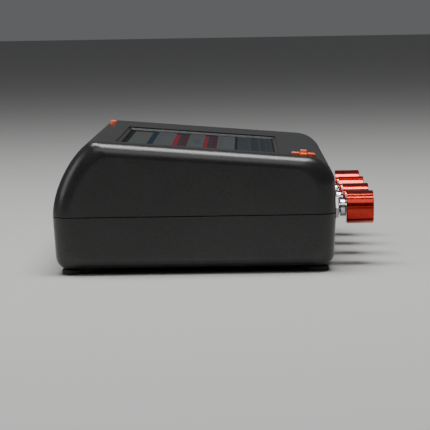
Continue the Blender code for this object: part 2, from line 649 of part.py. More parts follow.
def power_button():
    tact_top = DECK_BOARD_TOP + GAP + TACT_HEIGHT
    half = TACT_WIDTH / 2
    make("power_switch", block((-half, -half, DECK_BOARD_TOP + GAP), (half, half, tact_top)), BLACK, POWER)
    button = make("power_button", rod(POWER_RADIUS, (0, 0, -WALL - 2 * GAP), (0, 0, POWER_RISE), 20),
                  ORANGE, POWER)
    bevel(button, 0.5 * MM)
    add(button, rod(POWER_FLANGE, (0, 0, -WALL - GAP - POWER_FLANGE_HEIGHT), (0, 0, -WALL - GAP)), POWER)
    add(button, rod(POWER_STEM / 2, (0, 0, tact_top + BUTTON_TRAVEL + GAP), (0, 0, -WALL - 2 * GAP), 16),
        POWER)


# ---------------------------------------------------------------- encoders and knobs

def encoder(number, y):
    front, middle = ENCODER_FRONT, SPLIT_Z
    half = ENCODER_WIDTH / 2
    body = make(f"encoder_{number}", block((front - ENCODER_DEPTH, y - half, middle - half),
                                           (front, y + half, middle + half)), BLACK)
    add(body, rod(BUSHING_RADIUS, (front - GAP, y, middle), (FRONT_X + BUSHING_OUT, y, middle)))
    cut(body, rod(SHAFT_RADIUS + GAP, (front - ENCODER_DEPTH / 2, y, middle),
                  (FRONT_X + 2 * BUSHING_OUT, y, middle)))
    nut = make(f"encoder_nut_{number}", rod(NUT_FLATS / 2 / cos(pi / 6), (FRONT_X + NUT_OUT, y, middle),
                                            (FRONT_X + NUT_OUT + NUT_LENGTH, y, middle), 6), CHROME)
    bevel(nut, 0.2 * MM, 1, radians(70))
    cut(nut, rod(BUSHING_RADIUS + GAP, (FRONT_X, y, middle), (FRONT_X + 2 * BUSHING_OUT, y, middle)))


def knob(number, axis):
    """What turns on one encoder, in its frame: the axis is X and the wall is at zero."""
    shaft_end = KNOB_OUT + KNOB_LENGTH - KNOB_CROWN
    make(f"encoder_shaft_{number}", rod(SHAFT_RADIUS, (ENCODER_FRONT - FRONT_X - ENCODER_DEPTH / 2 + GAP, 0, 0),
                                        (shaft_end, 0, 0), 20), STEEL, axis)
    collar = make(f"knob_collar_{number}", rod(COLLAR_RADIUS, (COLLAR_OUT, 0, 0),
                                               (COLLAR_OUT + COLLAR_LENGTH, 0, 0), 24), CHROME, axis)
    bevel(collar, 0.3 * MM, 1)
    cut(collar, rod(SHAFT_RADIUS + GAP, (0, 0, 0), (2 * KNOB_OUT, 0, 0), 20), axis)

    cap = make(f"knob_{number}", rod(KNOB_RADIUS, (KNOB_OUT, 0, 0), (KNOB_OUT + KNOB_LENGTH, 0, 0), 40),
               RED_ALUMINIUM, axis)
    bevel(cap, KNOB_CHAMFER, 1)
    half = FLUTE_WIDTH / 2
    flutes = group([block((0, -2 * KNOB_RADIUS, -half),
                          (KNOB_OUT + 2 * KNOB_LENGTH, -KNOB_RADIUS + FLUTE_DEPTH, half))
                    for _ in range(FLUTE_COUNT)])
    for i in range(FLUTE_COUNT):
        verts = flutes.verts[:][i * 8:i * 8 + 8]
        bmesh.ops.rotate(flutes, verts=verts, matrix=Matrix.Rotation(2 * pi * i / FLUTE_COUNT, 3, "X"))
    cut(cap, flutes, axis)
    cut(cap, rod(SHAFT_RADIUS + GAP, (0, 0, 0), (shaft_end + GAP, 0, 0), 20), axis)
    grub_x = KNOB_OUT + GRUB_FROM_BACK
    grub_way = Matrix.Rotation(pi / FLUTE_COUNT, 3, "X") @ Vector((0, 0, -1))
    seat = Vector((grub_x, 0, 0))
    cut(cap, rod(GRUB_RADIUS + GAP, seat, seat + grub_way * 2 * KNOB_RADIUS, 16), axis)
    grub = make(f"knob_screw_{number}", rod(GRUB_RADIUS, seat + grub_way * (SHAFT_RADIUS + GAP),
                                            seat + grub_way * (KNOB_RADIUS - 2 * GAP), 12), STEEL, axis)
    cut(grub, rod(GRUB_RADIUS / 2, seat + grub_way * (KNOB_RADIUS - 1.2 * MM),
                  seat + grub_way * KNOB_RADIUS, 6), axis)


def encoder_board():
    half_y = KNOB_YS[-1] + ENCODER_BOARD_END
    half_z = ENCODER_BOARD_HEIGHT / 2
    make("encoder_board", block((ENCODER_BOARD_X, -half_y, SPLIT_Z - half_z),
                                (ENCODER_BOARD_X + BOARD_HEIGHT, half_y, SPLIT_Z + half_z)), BOARD)


# ---------------------------------------------------------------- power, sound and main board

def main_board():
    board = make("main_board", block((MAIN_BOARD_X, MAIN_BOARD_Y, MAIN_BOARD_Z),
                                     (MAIN_BOARD_X + MAIN_BOARD_WIDTH, MAIN_BOARD_Y + MAIN_BOARD_LENGTH,
                                      MAIN_BOARD_TOP)), BOARD)
    cut(board, group([rod(SMALL_SCREW_RADIUS + GAP, (x, y, FLOOR_Z), (x, y, 2 * MAIN_BOARD_TOP), 12)
                      for x, y in BOARD_SCREW_SPOTS]))
    middle = Vector((MAIN_BOARD_X + MAIN_BOARD_WIDTH / 2, MAIN_BOARD_Y + MAIN_BOARD_LENGTH / 3,
                     MAIN_BOARD_TOP))
    chip = Vector(CHIP_SIZE)
    add(board, block(middle - Vector((chip.x / 2, chip.y / 2, GAP)),
                     middle + Vector((chip.x / 2, chip.y / 2, chip.z))))
    above = MAIN_BOARD_TOP + GAP
    for i, (x, y) in enumerate(BOARD_SCREW_SPOTS):
        piece = make(f"board_screw_{i + 1}", rod(SMALL_HEAD_RADIUS, (x, y, above),
                                                 (x, y, above + SMALL_HEAD_LENGTH), 16), STEEL)
        add(piece, rod(SMALL_SCREW_RADIUS, (x, y, FLOOR_Z + GAP), (x, y, above + GAP), 12))


def ribbon_cable():
    """A flat cable in an S from the display board down to the main board."""
    x = MAIN_BOARD_X + MAIN_BOARD_WIDTH / 2
    low = MAIN_BOARD_TOP + GAP
    drop = (-DECK_BOARD_TOP + BOARD_HEIGHT + 4 * GAP) / cos(TOP_TILT)
    high = deck_z(x - CASE_X) - drop
    y = MAIN_BOARD_Y + RIBBON_FROM_NEAR
    steps = 16
    shape = bmesh.new()
    line = [shape.verts.new((x + RIBBON_SWAY * sin(2 * pi * k / steps), y - RIBBON_WIDTH / 2,
                             low + (high - low) * k / steps)) for k in range(steps + 1)]
    edges = [shape.edges.new(pair) for pair in zip(line, line[1:])]
    made = bmesh.ops.extrude_edge_only(shape, edges=edges)["geom"]
    far = [item for item in made if isinstance(item, bmesh.types.BMVert)]
    bmesh.ops.translate(shape, vec=(0, RIBBON_WIDTH, 0), verts=far)
    ribbon = make("ribbon_cable", shape, COPPER_FILM)
    step = ribbon.modifiers.new("thickness", "SOLIDIFY")
    step.thickness = RIBBON_THICKNESS
    step.offset = 0


def battery():
    middle = REAR_X + HOLDER_FROM_REAR
    bottom = FLOOR_Z + GAP
    half_x = CELL_PITCH / 2 + CELL_RADIUS + GAP + HOLDER_RIM
    half_y = CELL_LENGTH / 2 + GAP + HOLDER_END
    axis_z = bottom + HOLDER_FLOOR + CELL_RADIUS + GAP
    holder = make("battery_holder", block((middle - half_x, -half_y, bottom),
                                          (middle + half_x, half_y, bottom + HOLDER_HEIGHT)), BLACK)
    cell_xs = [middle - CELL_PITCH / 2, middle + CELL_PITCH / 2]
    reach = CELL_LENGTH / 2 + GAP + CONTACT_SPACE
    cut(holder, group([rod(CELL_RADIUS + GAP, (x, -reach, axis_z), (x, reach, axis_z), 32)
                       for x in cell_xs]))
    for name, x in zip(("battery_cell_rear", "battery_cell_front"), cell_xs):
        make(name, rod(CELL_RADIUS, (x, -CELL_LENGTH / 2, axis_z), (x, CELL_LENGTH / 2, axis_z), 32),
             CELL_WRAP)


def usb_port():
    size = Vector(PORT_SIZE)
    x, low, end = CASE_X + PORT_OFFSET, MAIN_BOARD_TOP + GAP, FAR_Y - 2 * GAP
    port = make("usb_port", block((x - size.x / 2, end - size.y, low), (x + size.x / 2, end, low + size.z)),
                STEEL)
    bevel(port, 0.6 * MM, 2)
    inside = size - Vector((2 * PORT_WALL, size.y / 4, 2 * PORT_WALL))
    cut(port, block((x - inside.x / 2, end - inside.y, low + PORT_WALL),
                    (x + inside.x / 2, end + GAP, low + PORT_WALL + inside.z)))
    tongue = Vector((inside.x * 0.7, inside.y * 0.85, inside.z * 0.28))
    middle = low + size.z / 2
    add(port, block((x - tongue.x / 2, end - inside.y - GAP, middle - tongue.z / 2),
                    (x + tongue.x / 2, end - inside.y + tongue.y, middle + tongue.z / 2)))


def microphone():
    x, z = CASE_X + MIC_OFFSET, MAIN_BOARD_TOP + GAP + MIC_RADIUS
    front = FAR_Y - WALL - GAP
    make("microphone", rod(MIC_RADIUS, (x, front - MIC_LENGTH, z), (x, front, z)), STEEL)


def build():
    core = case_core()
    upper_shell(core)
    lower_shell(core)
    feet()
    case_screws()
    display()
    display_board()
    nav_switch()
    nav_gimbal()
    nav_pad()
    nav_button()
    power_button()
    for number, (y, axis) in enumerate(zip(KNOB_YS, KNOBS), start=1):
        encoder(number, y)
        knob(number, axis)
    encoder_board()
    main_board()
    ribbon_cable()
    battery()
    usb_port()
    microphone()


build()
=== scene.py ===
import json
import math
import bmesh
import bpy
from mathutils import Matrix, Quaternion, Vector


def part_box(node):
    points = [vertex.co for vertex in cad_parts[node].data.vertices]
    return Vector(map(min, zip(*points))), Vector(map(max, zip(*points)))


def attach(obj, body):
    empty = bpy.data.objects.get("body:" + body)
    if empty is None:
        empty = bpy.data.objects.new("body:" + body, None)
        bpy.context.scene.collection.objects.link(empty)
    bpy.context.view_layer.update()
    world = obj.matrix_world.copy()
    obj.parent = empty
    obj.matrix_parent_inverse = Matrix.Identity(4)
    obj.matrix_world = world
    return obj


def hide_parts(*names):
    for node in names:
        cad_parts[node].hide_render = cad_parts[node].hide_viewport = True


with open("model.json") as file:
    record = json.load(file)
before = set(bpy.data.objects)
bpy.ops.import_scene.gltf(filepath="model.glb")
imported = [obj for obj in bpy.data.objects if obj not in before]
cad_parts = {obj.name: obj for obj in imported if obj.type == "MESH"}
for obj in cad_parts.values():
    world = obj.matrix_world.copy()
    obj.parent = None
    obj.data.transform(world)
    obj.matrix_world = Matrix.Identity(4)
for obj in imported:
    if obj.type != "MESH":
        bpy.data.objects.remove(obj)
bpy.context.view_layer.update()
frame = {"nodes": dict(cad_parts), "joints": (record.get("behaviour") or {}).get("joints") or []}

mm = 0.001
nodes = frame["nodes"]
joints = {joint["name"]: joint for joint in frame["joints"]}
knobNumbers = (1, 2, 3, 4)
cornerNumbers = (1, 2, 3, 4)     # case screws and feet

# places that the rest is measured from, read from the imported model, and the sizes that pieces share
upperLow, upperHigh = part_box("upper_shell")
gap = 0.3 * mm
splitZ = upperLow.z - gap / 2
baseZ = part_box("lower_shell")[0].z
caseX = (upperLow.x + upperHigh.x) / 2
caseLength = upperHigh.x - upperLow.x
caseWidth = upperHigh.y - upperLow.y
slope = Vector(joints["pad_tilt_side"]["axis"])
padPivot = Vector(joints["pad_tilt_side"]["pos_m"])
topTilt = math.atan2(-slope.z, slope.x)
deckNormal = Vector((math.sin(topTilt), 0, math.cos(topTilt)))
pivotDepth = 4.0 * mm        # from the surface of the top down to the pad's pivot
deckOrigin = padPivot + deckNormal * pivotDepth
deckOrigin = deckOrigin - slope * ((deckOrigin.x - caseX) / slope.x)
deckOrigin.y = 0
deckPlace = Matrix.Translation(deckOrigin) @ Matrix.Rotation(topTilt, 4, "Y")
wall = 2.2 * mm
throughTop = 6 * mm          # how far the cutters reach down through the top
close = 0.1 * mm             # near enough when an edge or face is found by its place
tiny = 0.001 * mm            # places nearer to each other than this are the same place
knobAxes = {n: Vector(joints[f"control_{n}_turn"]["pos_m"]) for n in knobNumbers}


def middleOf(name):
    low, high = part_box(name)
    return Vector([(a + b) / 2 for a, b in zip(low, high)])


def deselect():
    if bpy.context.object and bpy.context.object.mode != "OBJECT":
        bpy.ops.object.mode_set(mode="OBJECT")
    bpy.ops.object.select_all(action="DESELECT")


def activate(piece):
    deselect()
    piece.select_set(True)
    bpy.context.view_layer.objects.active = piece


def startEdit(piece, kind="FACE"):
    activate(piece)
    bpy.ops.object.mode_set(mode="EDIT")
    bpy.ops.mesh.select_mode(type=kind)
    bpy.ops.mesh.select_all(action="DESELECT")


def endEdit():
    bpy.ops.object.mode_set(mode="OBJECT")


def pickFaces(test):
    work = bmesh.from_edit_mesh(bpy.context.object.data)
    for face in work.faces:
        face.select_set(bool(test(face.calc_center_median(), face.normal)))
    bmesh.update_edit_mesh(bpy.context.object.data)


def pickEdges(test):
    work = bmesh.from_edit_mesh(bpy.context.object.data)
    for edge in work.edges:
        edge.select_set(False)
    for edge in work.edges:
        if test(edge.verts[0].co, edge.verts[1].co):
            edge.select_set(True)
    bmesh.update_edit_mesh(bpy.context.object.data)


def longAlong(axis):
    # a test for edges that run along x, y or z for over a millimetre
    return lambda a, b: abs(getattr(a, axis) - getattr(b, axis)) > 1 * mm


def newest(name):
    piece = bpy.context.object
    piece.name = name
    piece.data.name = name
    return piece


def addBox(name, low, high):
    deselect()
    low, high = Vector(low), Vector(high)
    bpy.ops.mesh.primitive_cube_add(size=1, location=(low + high) / 2, scale=high - low)
    bpy.ops.object.transform_apply(location=True, rotation=True, scale=True)
    return newest(name)


def addRod(name, radius, start, end, sides=64):
    deselect()
    start, end = Vector(start), Vector(end)
    turn = Vector((0, 0, 1)).rotation_difference(end - start).to_euler()
    bpy.ops.mesh.primitive_cylinder_add(vertices=sides, radius=radius, depth=(end - start).length,
                                        location=(start + end) / 2, rotation=turn)
    bpy.ops.object.transform_apply(location=True, rotation=True, scale=True)
    return newest(name)


def placeOnDeck(piece):
    activate(piece)
    piece.matrix_world = deckPlace
    bpy.ops.object.transform_apply(location=True, rotation=True, scale=True)
    return piece


def discard(piece):
    bpy.data.objects.remove(piece, do_unlink=True)


def applyAll(piece):
    activate(piece)
    for step in list(piece.modifiers):
        bpy.ops.object.modifier_apply(modifier=step.name)


def carve(piece, tools, operation="DIFFERENCE"):
    for tool in tools:
        step = piece.modifiers.new("carve", "BOOLEAN")
        step.operation = operation
        step.solver = "EXACT"
        step.object = tool
        applyAll(piece)
        discard(tool)


def softenEdges(piece, width, segments=2, angle=35):
    step = piece.modifiers.new("softEdges", "BEVEL")
    step.width = width
    step.segments = segments
    step.limit_method = "ANGLE"
    step.angle_limit = math.radians(angle)
    applyAll(piece)


def finishShading(piece, angle=30):
    activate(piece)
    bpy.ops.object.shade_smooth_by_angle(angle=math.radians(angle))
    step = piece.modifiers.new("evenNormals", "WEIGHTED_NORMAL")
    step.keep_sharp = True
    step.weight = 100
    applyAll(piece)


def copyPiece(piece, name, place=None):
    twin = piece.copy()
    twin.data = piece.data.copy()
    twin.name = name
    twin.data.name = name
    bpy.context.scene.collection.objects.link(twin)
    if place is not None:
        activate(twin)
        twin.matrix_world = place
        bpy.ops.object.transform_apply(location=True, rotation=True, scale=True)
    return twin


def finishPiece(piece, surface, body, stands):
    piece.data.materials.clear()
    piece.data.materials.append(surface)
    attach(piece, body)
    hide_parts(*stands)


print("stage: camera and studio")
studio = {
    "lens": 173.3, "sensor": 36, "clipStart": 0.01, "clipEnd": 50,
    "cameraPlace": (12.2 * mm, -885.3 * mm, 104.7 * mm),
    "lookDown": 5.764, "lookAside": -0.843, "lean": -0.957,
    "floorColour": (0.4, 0.397, 0.39), "floorRoughness": 0.75, "floorSize": 12, "floorDrop": 0.01 * mm,
    "worldColour": (0.12, 0.122, 0.126), "aimHeight": 30 * mm,
    "topLight": {"place": (-0.02, -0.04, 0.85), "size": (0.8, 0.4), "power": 13.0},
    "frontLight": {"place": (-0.1, -0.8, 0.85), "size": (0.9, 0.5), "power": 2.2},
    "leftLight": {"place": (-1.1, -0.2, 0.45), "size": (0.5, 0.5), "power": 1.8},
}


def lookAlong(down, aside):
    down, aside = math.radians(down), math.radians(aside)
    return Vector((math.sin(aside) * math.cos(down), math.cos(aside) * math.cos(down), -math.sin(down)))


def makeCamera():
    lens = bpy.data.cameras.new("camera")
    lens.lens = studio["lens"]
    lens.sensor_width = studio["sensor"]
    lens.clip_start, lens.clip_end = studio["clipStart"], studio["clipEnd"]
    camera = bpy.data.objects.new("camera", lens)
    camera.location = studio["cameraPlace"]
    camera.rotation_mode = "QUATERNION"
    aim = lookAlong(studio["lookDown"], studio["lookAside"]).to_track_quat("-Z", "Y")
    camera.rotation_quaternion = aim @ Quaternion((0, 0, 1), math.radians(studio["lean"]))
    bpy.context.scene.collection.objects.link(camera)
    bpy.context.scene.camera = camera


def makeLight(name, values):
    lamp = bpy.data.lights.new(name, "AREA")
    lamp.shape = "RECTANGLE"
    lamp.size, lamp.size_y = values["size"]
    lamp.energy = values["power"]
    light = bpy.data.objects.new(name, lamp)
    light.location = values["place"]
    aim = Vector((caseX, 0, studio["aimHeight"])) - light.location
    light.rotation_mode = "QUATERNION"
    light.rotation_quaternion = aim.to_track_quat("-Z", "Y")
    bpy.context.scene.collection.objects.link(light)


def makeStudio():
    makeCamera()
    for name in ("topLight", "frontLight", "leftLight"):
        makeLight(name, studio[name])
    world = bpy.data.worlds.new("studio")
    world.use_nodes = True
    world.node_tree.nodes["Background"].inputs["Color"].default_value = (*studio["worldColour"], 1)
    bpy.context.scene.world = world
    deselect()
    bpy.ops.mesh.primitive_plane_add(size=studio["floorSize"], location=(0, 0, -studio["floorDrop"]))
    floor = newest("floor")
    surface = bpy.data.materials.new("paleFloor")
    surface.use_nodes = True
    shader = surface.node_tree.nodes["Principled BSDF"]
    shader.inputs["Base Color"].default_value = (*studio["floorColour"], 1)
    shader.inputs["Roughness"].default_value = studio["floorRoughness"]
    floor.data.materials.append(surface)


makeStudio()

print("stage: materials")


class Finish:
    # a material and short ways to add nodes to it
    def __init__(self, name, look):
        self.material = bpy.data.materials.new(name)
        self.material.use_nodes = True
        self.tree = self.material.node_tree
        self.shader = self.tree.nodes["Principled BSDF"]
        self.set("Base Color", (*look["colour"], 1))
        self.set("Roughness", look["flat"])
        self.set("Metallic", look.get("metallic", 0.0))
        self.set("Specular IOR Level", look.get("gloss", 0.5))
        self.place = self.add("ShaderNodeTexCoord").outputs["Object"]

    def set(self, socket, value):
        self.shader.inputs[socket].default_value = value

    def add(self, kind, **values):
        node = self.tree.nodes.new(kind)
        for key, value in values.items():
            setattr(node, key, value)
        return node

    def link(self, output, socket):
        self.tree.links.new(output, socket)

    def mapping(self, centre=(0, 0, 0), scale=(1, 1, 1)):
        node = self.add("ShaderNodeMapping", vector_type="POINT")
        node.inputs["Scale"].default_value = scale
        node.inputs["Location"].default_value = [-c * s for c, s in zip(centre, scale)]
        self.link(self.place, node.inputs["Vector"])
        return node.outputs["Vector"]

    def noise(self, scale, detail, vector=None):
        node = self.add("ShaderNodeTexNoise")
        node.inputs["Scale"].default_value = scale
        node.inputs["Detail"].default_value = detail
        node.inputs["Roughness"].default_value = noiseRoughness
        self.link(vector or self.place, node.inputs["Vector"])
        return node.outputs["Fac"]

    def cells(self, scale):
        node = self.add("ShaderNodeTexVoronoi")
        node.inputs["Scale"].default_value = scale
        self.link(self.place, node.inputs["Vector"])
        return node.outputs["Distance"]

    def spread(self, value, low, high, fromLow=0.3, fromHigh=0.7):
        node = self.add("ShaderNodeMapRange")
        node.inputs["From Min"].default_value = fromLow
        node.inputs["From Max"].default_value = fromHigh
        node.inputs["To Min"].default_value = low
        node.inputs["To Max"].default_value = high
        self.link(value, node.inputs["Value"])
        return node.outputs["Result"]

    def calculate(self, operation, first, second=0.0):
        node = self.add("ShaderNodeMath", operation=operation)
        for socket, value in zip(node.inputs, (first, second)):
            if isinstance(value, (int, float)):
                socket.default_value = value
            else:
                self.link(value, socket)
        return node.outputs["Value"]

    def colourBy(self, amount, first, second):
        node = self.add("ShaderNodeMix", data_type="RGBA")
        self.link(amount, node.inputs["Factor"])
        node.inputs[6].default_value = (*first, 1)      # sockets 6 and 7 take the two colours
        node.inputs[7].default_value = (*second, 1)
        self.link(node.outputs[2], self.shader.inputs["Base Color"])

    def roughBy(self, amount, low, high):
        self.link(self.spread(amount, low, high), self.shader.inputs["Roughness"])

    def bump(self, height, distance, strength):
        node = self.add("ShaderNodeBump")
        node.inputs["Distance"].default_value = distance
        node.inputs["Strength"].default_value = strength
        self.link(height, node.inputs["Height"])
        if self.shader.inputs["Normal"].is_linked:
            self.link(self.shader.inputs["Normal"].links[0].from_socket, node.inputs["Normal"])
        self.link(node.outputs["Normal"], self.shader.inputs["Normal"])


# noises are (scale, detail), tones are (darker, lighter), and each grain is (depth, strength)
noiseRoughness = 0.55
graphite = {
    "colour": (0.010, 0.010, 0.0096), "flat": 0.42, "metallic": 0.35, "gloss": 0.85,
    "tones": ((0.010, 0.010, 0.0096), (0.030, 0.030, 0.0288)), "toneReach": (0.2, 0.9),
    "flakes": 2080.0, "flakeShare": 0.6, "flakeReach": (0.1, 0.55), "cloudNoise": (45.0, 4.0),
    "cloudShare": 0.55, "roughNoise": (180.0, 5.0), "roughness": (0.27, 0.33),
    "grainNoise": (2600.0, 2.0), "grain": (0.03 * mm, 0.5),
}


def graphitePlastic():
    finish = Finish("graphitePlastic", graphite)
    flakes = finish.spread(finish.cells(graphite["flakes"]), 1.0, 0.0, *graphite["flakeReach"])
    cloud = finish.noise(*graphite["cloudNoise"])
    tone = finish.calculate("ADD", finish.calculate("MULTIPLY", flakes, graphite["flakeShare"]),
                            finish.calculate("MULTIPLY", cloud, graphite["cloudShare"]))
    finish.colourBy(finish.spread(tone, 0.0, 1.0, *graphite["toneReach"]), *graphite["tones"])
    finish.roughBy(finish.noise(*graphite["roughNoise"]), *graphite["roughness"])
    finish.bump(finish.noise(*graphite["grainNoise"]), *graphite["grain"])
    return finish.material


redLook = {
    "colour": (0.6, 0.02, 0.005), "flat": 0.24, "metallic": 1.0, "coat": 0.6, "coatRoughness": 0.08,
    "tones": ((0.4, 0.01, 0.003), (0.5, 0.02, 0.005)), "toneNoise": (420.0, 5.0),
    "roughness": (0.16, 0.22), "roughNoise": (260.0, 4.0),
    "turnedNoise": (1.0, 3.0), "turnedScale": (5200, 60, 60), "turned": (0.0006 * mm, 0.3),
    "ringPitch": 0.16 * mm, "rings": (0.0008 * mm, 0.25),
}


def redAluminium(number):
    # turning marks along the knob, and fine rings about its axis on the end face
    axis = knobAxes[number]
    finish = Finish(f"redAluminium{number}", redLook)
    finish.set("Coat Weight", redLook["coat"])
    finish.set("Coat Roughness", redLook["coatRoughness"])
    turned = finish.noise(*redLook["turnedNoise"], finish.mapping(axis, redLook["turnedScale"]))
    finish.colourBy(finish.spread(finish.noise(*redLook["toneNoise"]), 0.0, 1.0), *redLook["tones"])
    finish.roughBy(finish.noise(*redLook["roughNoise"]), *redLook["roughness"])
    split = finish.add("ShaderNodeSeparateXYZ")
    finish.link(finish.mapping(axis), split.inputs["Vector"])
    across = finish.calculate("POWER", split.outputs["Y"], 2.0)
    upward = finish.calculate("POWER", split.outputs["Z"], 2.0)
    radius = finish.calculate("SQRT", finish.calculate("ADD", across, upward))
    ringTurn = finish.calculate("MULTIPLY", radius, 2 * math.pi / redLook["ringPitch"])
    finish.bump(turned, *redLook["turned"])
    finish.bump(finish.calculate("SINE", ringTurn), *redLook["rings"])
    return finish.material


pictureLook = {
    "colour": (0.02, 0.025, 0.04), "flat": 0.25, "gloss": 0.04, "glow": 0.3,
    "roughness": (0.4, 0.5), "roughNoise": (200.0, 4.0),
    "lineNoise": (1.0, 0.0), "lineScale": (7400, 7400, 1), "lines": (0.002 * mm, 0.3),
}


def displayPicture():
    finish = Finish("displayPicture", pictureLook)
    picture = finish.add("ShaderNodeAttribute", attribute_name="picture")
    for socket in ("Base Color", "Emission Color"):
        finish.link(picture.outputs["Color"], finish.shader.inputs[socket])
    finish.set("Emission Strength", pictureLook["glow"])
    lines = finish.noise(*pictureLook["lineNoise"], finish.mapping(scale=pictureLook["lineScale"]))
    finish.bump(lines, *pictureLook["lines"])
    finish.roughBy(finish.noise(*pictureLook["roughNoise"]), *pictureLook["roughness"])
    return finish.material


boardLook = {
    "colour": (0.015, 0.13, 0.05), "flat": 0.4, "tones": ((0.012, 0.12, 0.045), (0.03, 0.2, 0.08)),
    "trackScale": 260.0, "trackGap": 0.012, "tracks": (0.02 * mm, 0.6),
    "roughness": (0.34, 0.5), "roughNoise": (300.0, 4.0),
}


def circuitBoard():
    finish = Finish("circuitBoard", boardLook)
    tracks = finish.add("ShaderNodeTexBrick")
    tracks.inputs["Scale"].default_value = boardLook["trackScale"]
    tracks.inputs["Mortar Size"].default_value = boardLook["trackGap"]
    finish.link(finish.place, tracks.inputs["Vector"])
    finish.colourBy(tracks.outputs["Fac"], *boardLook["tones"])
    finish.roughBy(finish.noise(*boardLook["roughNoise"]), *boardLook["roughness"])
    finish.bump(tracks.outputs["Fac"], *boardLook["tracks"])
    return finish.material


mottledLooks = {
    # painted shade: the walls of the display's recess, darker than the shell
    "rimPaintedShade": {
        "colour": (0.006, 0.006, 0.006), "flat": 0.42, "gloss": 0.9,
        "tones": ((0.005, 0.005, 0.005), (0.009, 0.009, 0.009)), "toneNoise": (300.0, 4.0),
        "roughness": (0.3, 0.38), "roughNoise": (500.0, 3.0),
        "grainNoise": (2600.0, 2.0), "grain": (0.012 * mm, 0.5),
    },
    "chrome": {
        "colour": (0.6, 0.6, 0.61), "flat": 0.1, "metallic": 1.0,
        "tones": ((0.54, 0.54, 0.55), (0.66, 0.66, 0.67)), "toneNoise": (120.0, 3.0),
        "roughness": (0.07, 0.2), "roughNoise": (500.0, 5.0),
        "grainNoise": (1.0, 2.0), "grainScale": (4200, 80, 80), "grain": (0.004 * mm, 0.5),
    },
    "orangePlastic": {
        "colour": (0.86, 0.12, 0.03), "flat": 0.34,
        "tones": ((0.8, 0.1, 0.025), (0.9, 0.15, 0.04)), "toneNoise": (300.0, 4.0),
        "roughness": (0.28, 0.42), "roughNoise": (700.0, 3.0),
        "grainNoise": (3800.0, 2.0), "grain": (0.008 * mm, 0.5),
    },
    "blackRubber": {
        "colour": (0.018, 0.018, 0.019), "flat": 0.8,
        "tones": ((0.012, 0.012, 0.013), (0.035, 0.035, 0.036)), "toneNoise": (500.0, 5.0),
        "roughness": (0.7, 0.92), "roughNoise": (900.0, 3.0),
        "grainNoise": (2600.0, 3.0), "grain": (0.02 * mm, 0.6),
    },
    "plainSteel": {
        "colour": (0.5, 0.5, 0.51), "flat": 0.32, "metallic": 1.0,
        "tones": ((0.4, 0.4, 0.41), (0.58, 0.58, 0.59)), "toneNoise": (250.0, 5.0),
        "roughness": (0.25, 0.42), "roughNoise": (600.0, 4.0),
        "grainNoise": (1500.0, 3.0), "grain": (0.01 * mm, 0.4),
    },
}
moulded = {
    "flat": 0.5, "toneNoise": (200.0, 4.0), "roughness": (0.42, 0.6), "roughNoise": (400.0, 4.0),
    "grainNoise": (2200.0, 2.0), "grain": (0.012 * mm, 0.5), "lighten": 1.35, "lift": 0.004,
}


def mottled(name, look=None):
    # two tones, an uneven roughness and a fine grain, each from its own noise
    look = look or mottledLooks[name]
    finish = Finish(name, look)
    finish.colourBy(finish.spread(finish.noise(*look["toneNoise"]), 0.0, 1.0), *look["tones"])
    finish.roughBy(finish.noise(*look["roughNoise"]), *look["roughness"])
    stretched = finish.mapping(scale=look["grainScale"]) if "grainScale" in look else None
    finish.bump(finish.noise(*look["grainNoise"], stretched), *look["grain"])
    return finish.material


def mouldedPlastic(name, colour):
    lighter = tuple(min(1.0, c * moulded["lighten"] + moulded["lift"]) for c in colour)
    return mottled(name, {**moulded, "colour": colour, "tones": (colour, lighter)})


surfaces = {
    "graphite": graphitePlastic(),
    # the rim finish is painted shade for the walls of the display's recess
    "rim": mottled("rimPaintedShade"),
    "chrome": mottled("chrome"),
    "orange": mottled("orangePlastic"),
    "rubber": mottled("blackRubber"),
    "picture": displayPicture(),
    "steel": mottled("plainSteel"),
    "blackPlastic": mouldedPlastic("blackPlastic", (0.018, 0.018, 0.02)),
    "whitePlastic": mouldedPlastic("whitePlastic", (0.7, 0.7, 0.68)),
    "cellFilm": mouldedPlastic("cellFilm", (0.08, 0.2, 0.42)),
    "copperFilm": mouldedPlastic("copperFilm", (0.5, 0.28, 0.09)),
    "gasketFoam": mouldedPlastic("gasketFoam", (0.012, 0.012, 0.012)),
    "board": circuitBoard(),
}
redFinishes = {n: redAluminium(n) for n in knobNumbers}

print("stage: case")
case = {
    "rearRadius": 37 * mm, "rearLean": math.radians(50), "rearStart": 0.4 * mm,
    "rearTopRadius": 5.5 * mm, "frontTopRadius": 11.5 * mm, "bottomRadius": 5 * mm,
    "lowerDraft": math.radians(3.2), "upperDraft": math.radians(1.2),
    "planRadius": 8 * mm, "edgeRadius": 5 * mm, "sideSteps": 14, "wall": wall,
    "seamEdge": 0.08 * mm, "spare": 2 * mm, "shadeAngle": 28,
    "shoulderSteps": 26, "rearTopSteps": 12, "frontTopSteps": 18, "bottomSteps": 12,
}


def bisect(spot, normal, clear=True):
    bpy.ops.mesh.select_all(action="SELECT")
    bpy.ops.mesh.bisect(plane_co=spot, plane_no=normal, clear_outer=clear, use_fill=clear, threshold=tiny)


def arcRun(radius, turn):
    # how far an arc reaches along each side of a corner that turns by this angle
    return radius * math.tan(turn / 2)


def roundCorner(spot, radius, turn, segments):
    # rounds the edge that runs along Y through one corner of the profile
    bpy.ops.mesh.select_mode(type="EDGE")
    alongY = longAlong("y")

    def onCorner(a, b):
        near = all(abs(p.x - spot[0]) < close and abs(p.z - spot[1]) < close for p in (a, b))
        return near and alongY(a, b)

    pickEdges(onCorner)
    bpy.ops.mesh.bevel(offset=arcRun(radius, turn), offset_type="OFFSET", segments=segments,
                       profile=0.5, clamp_overlap=False)


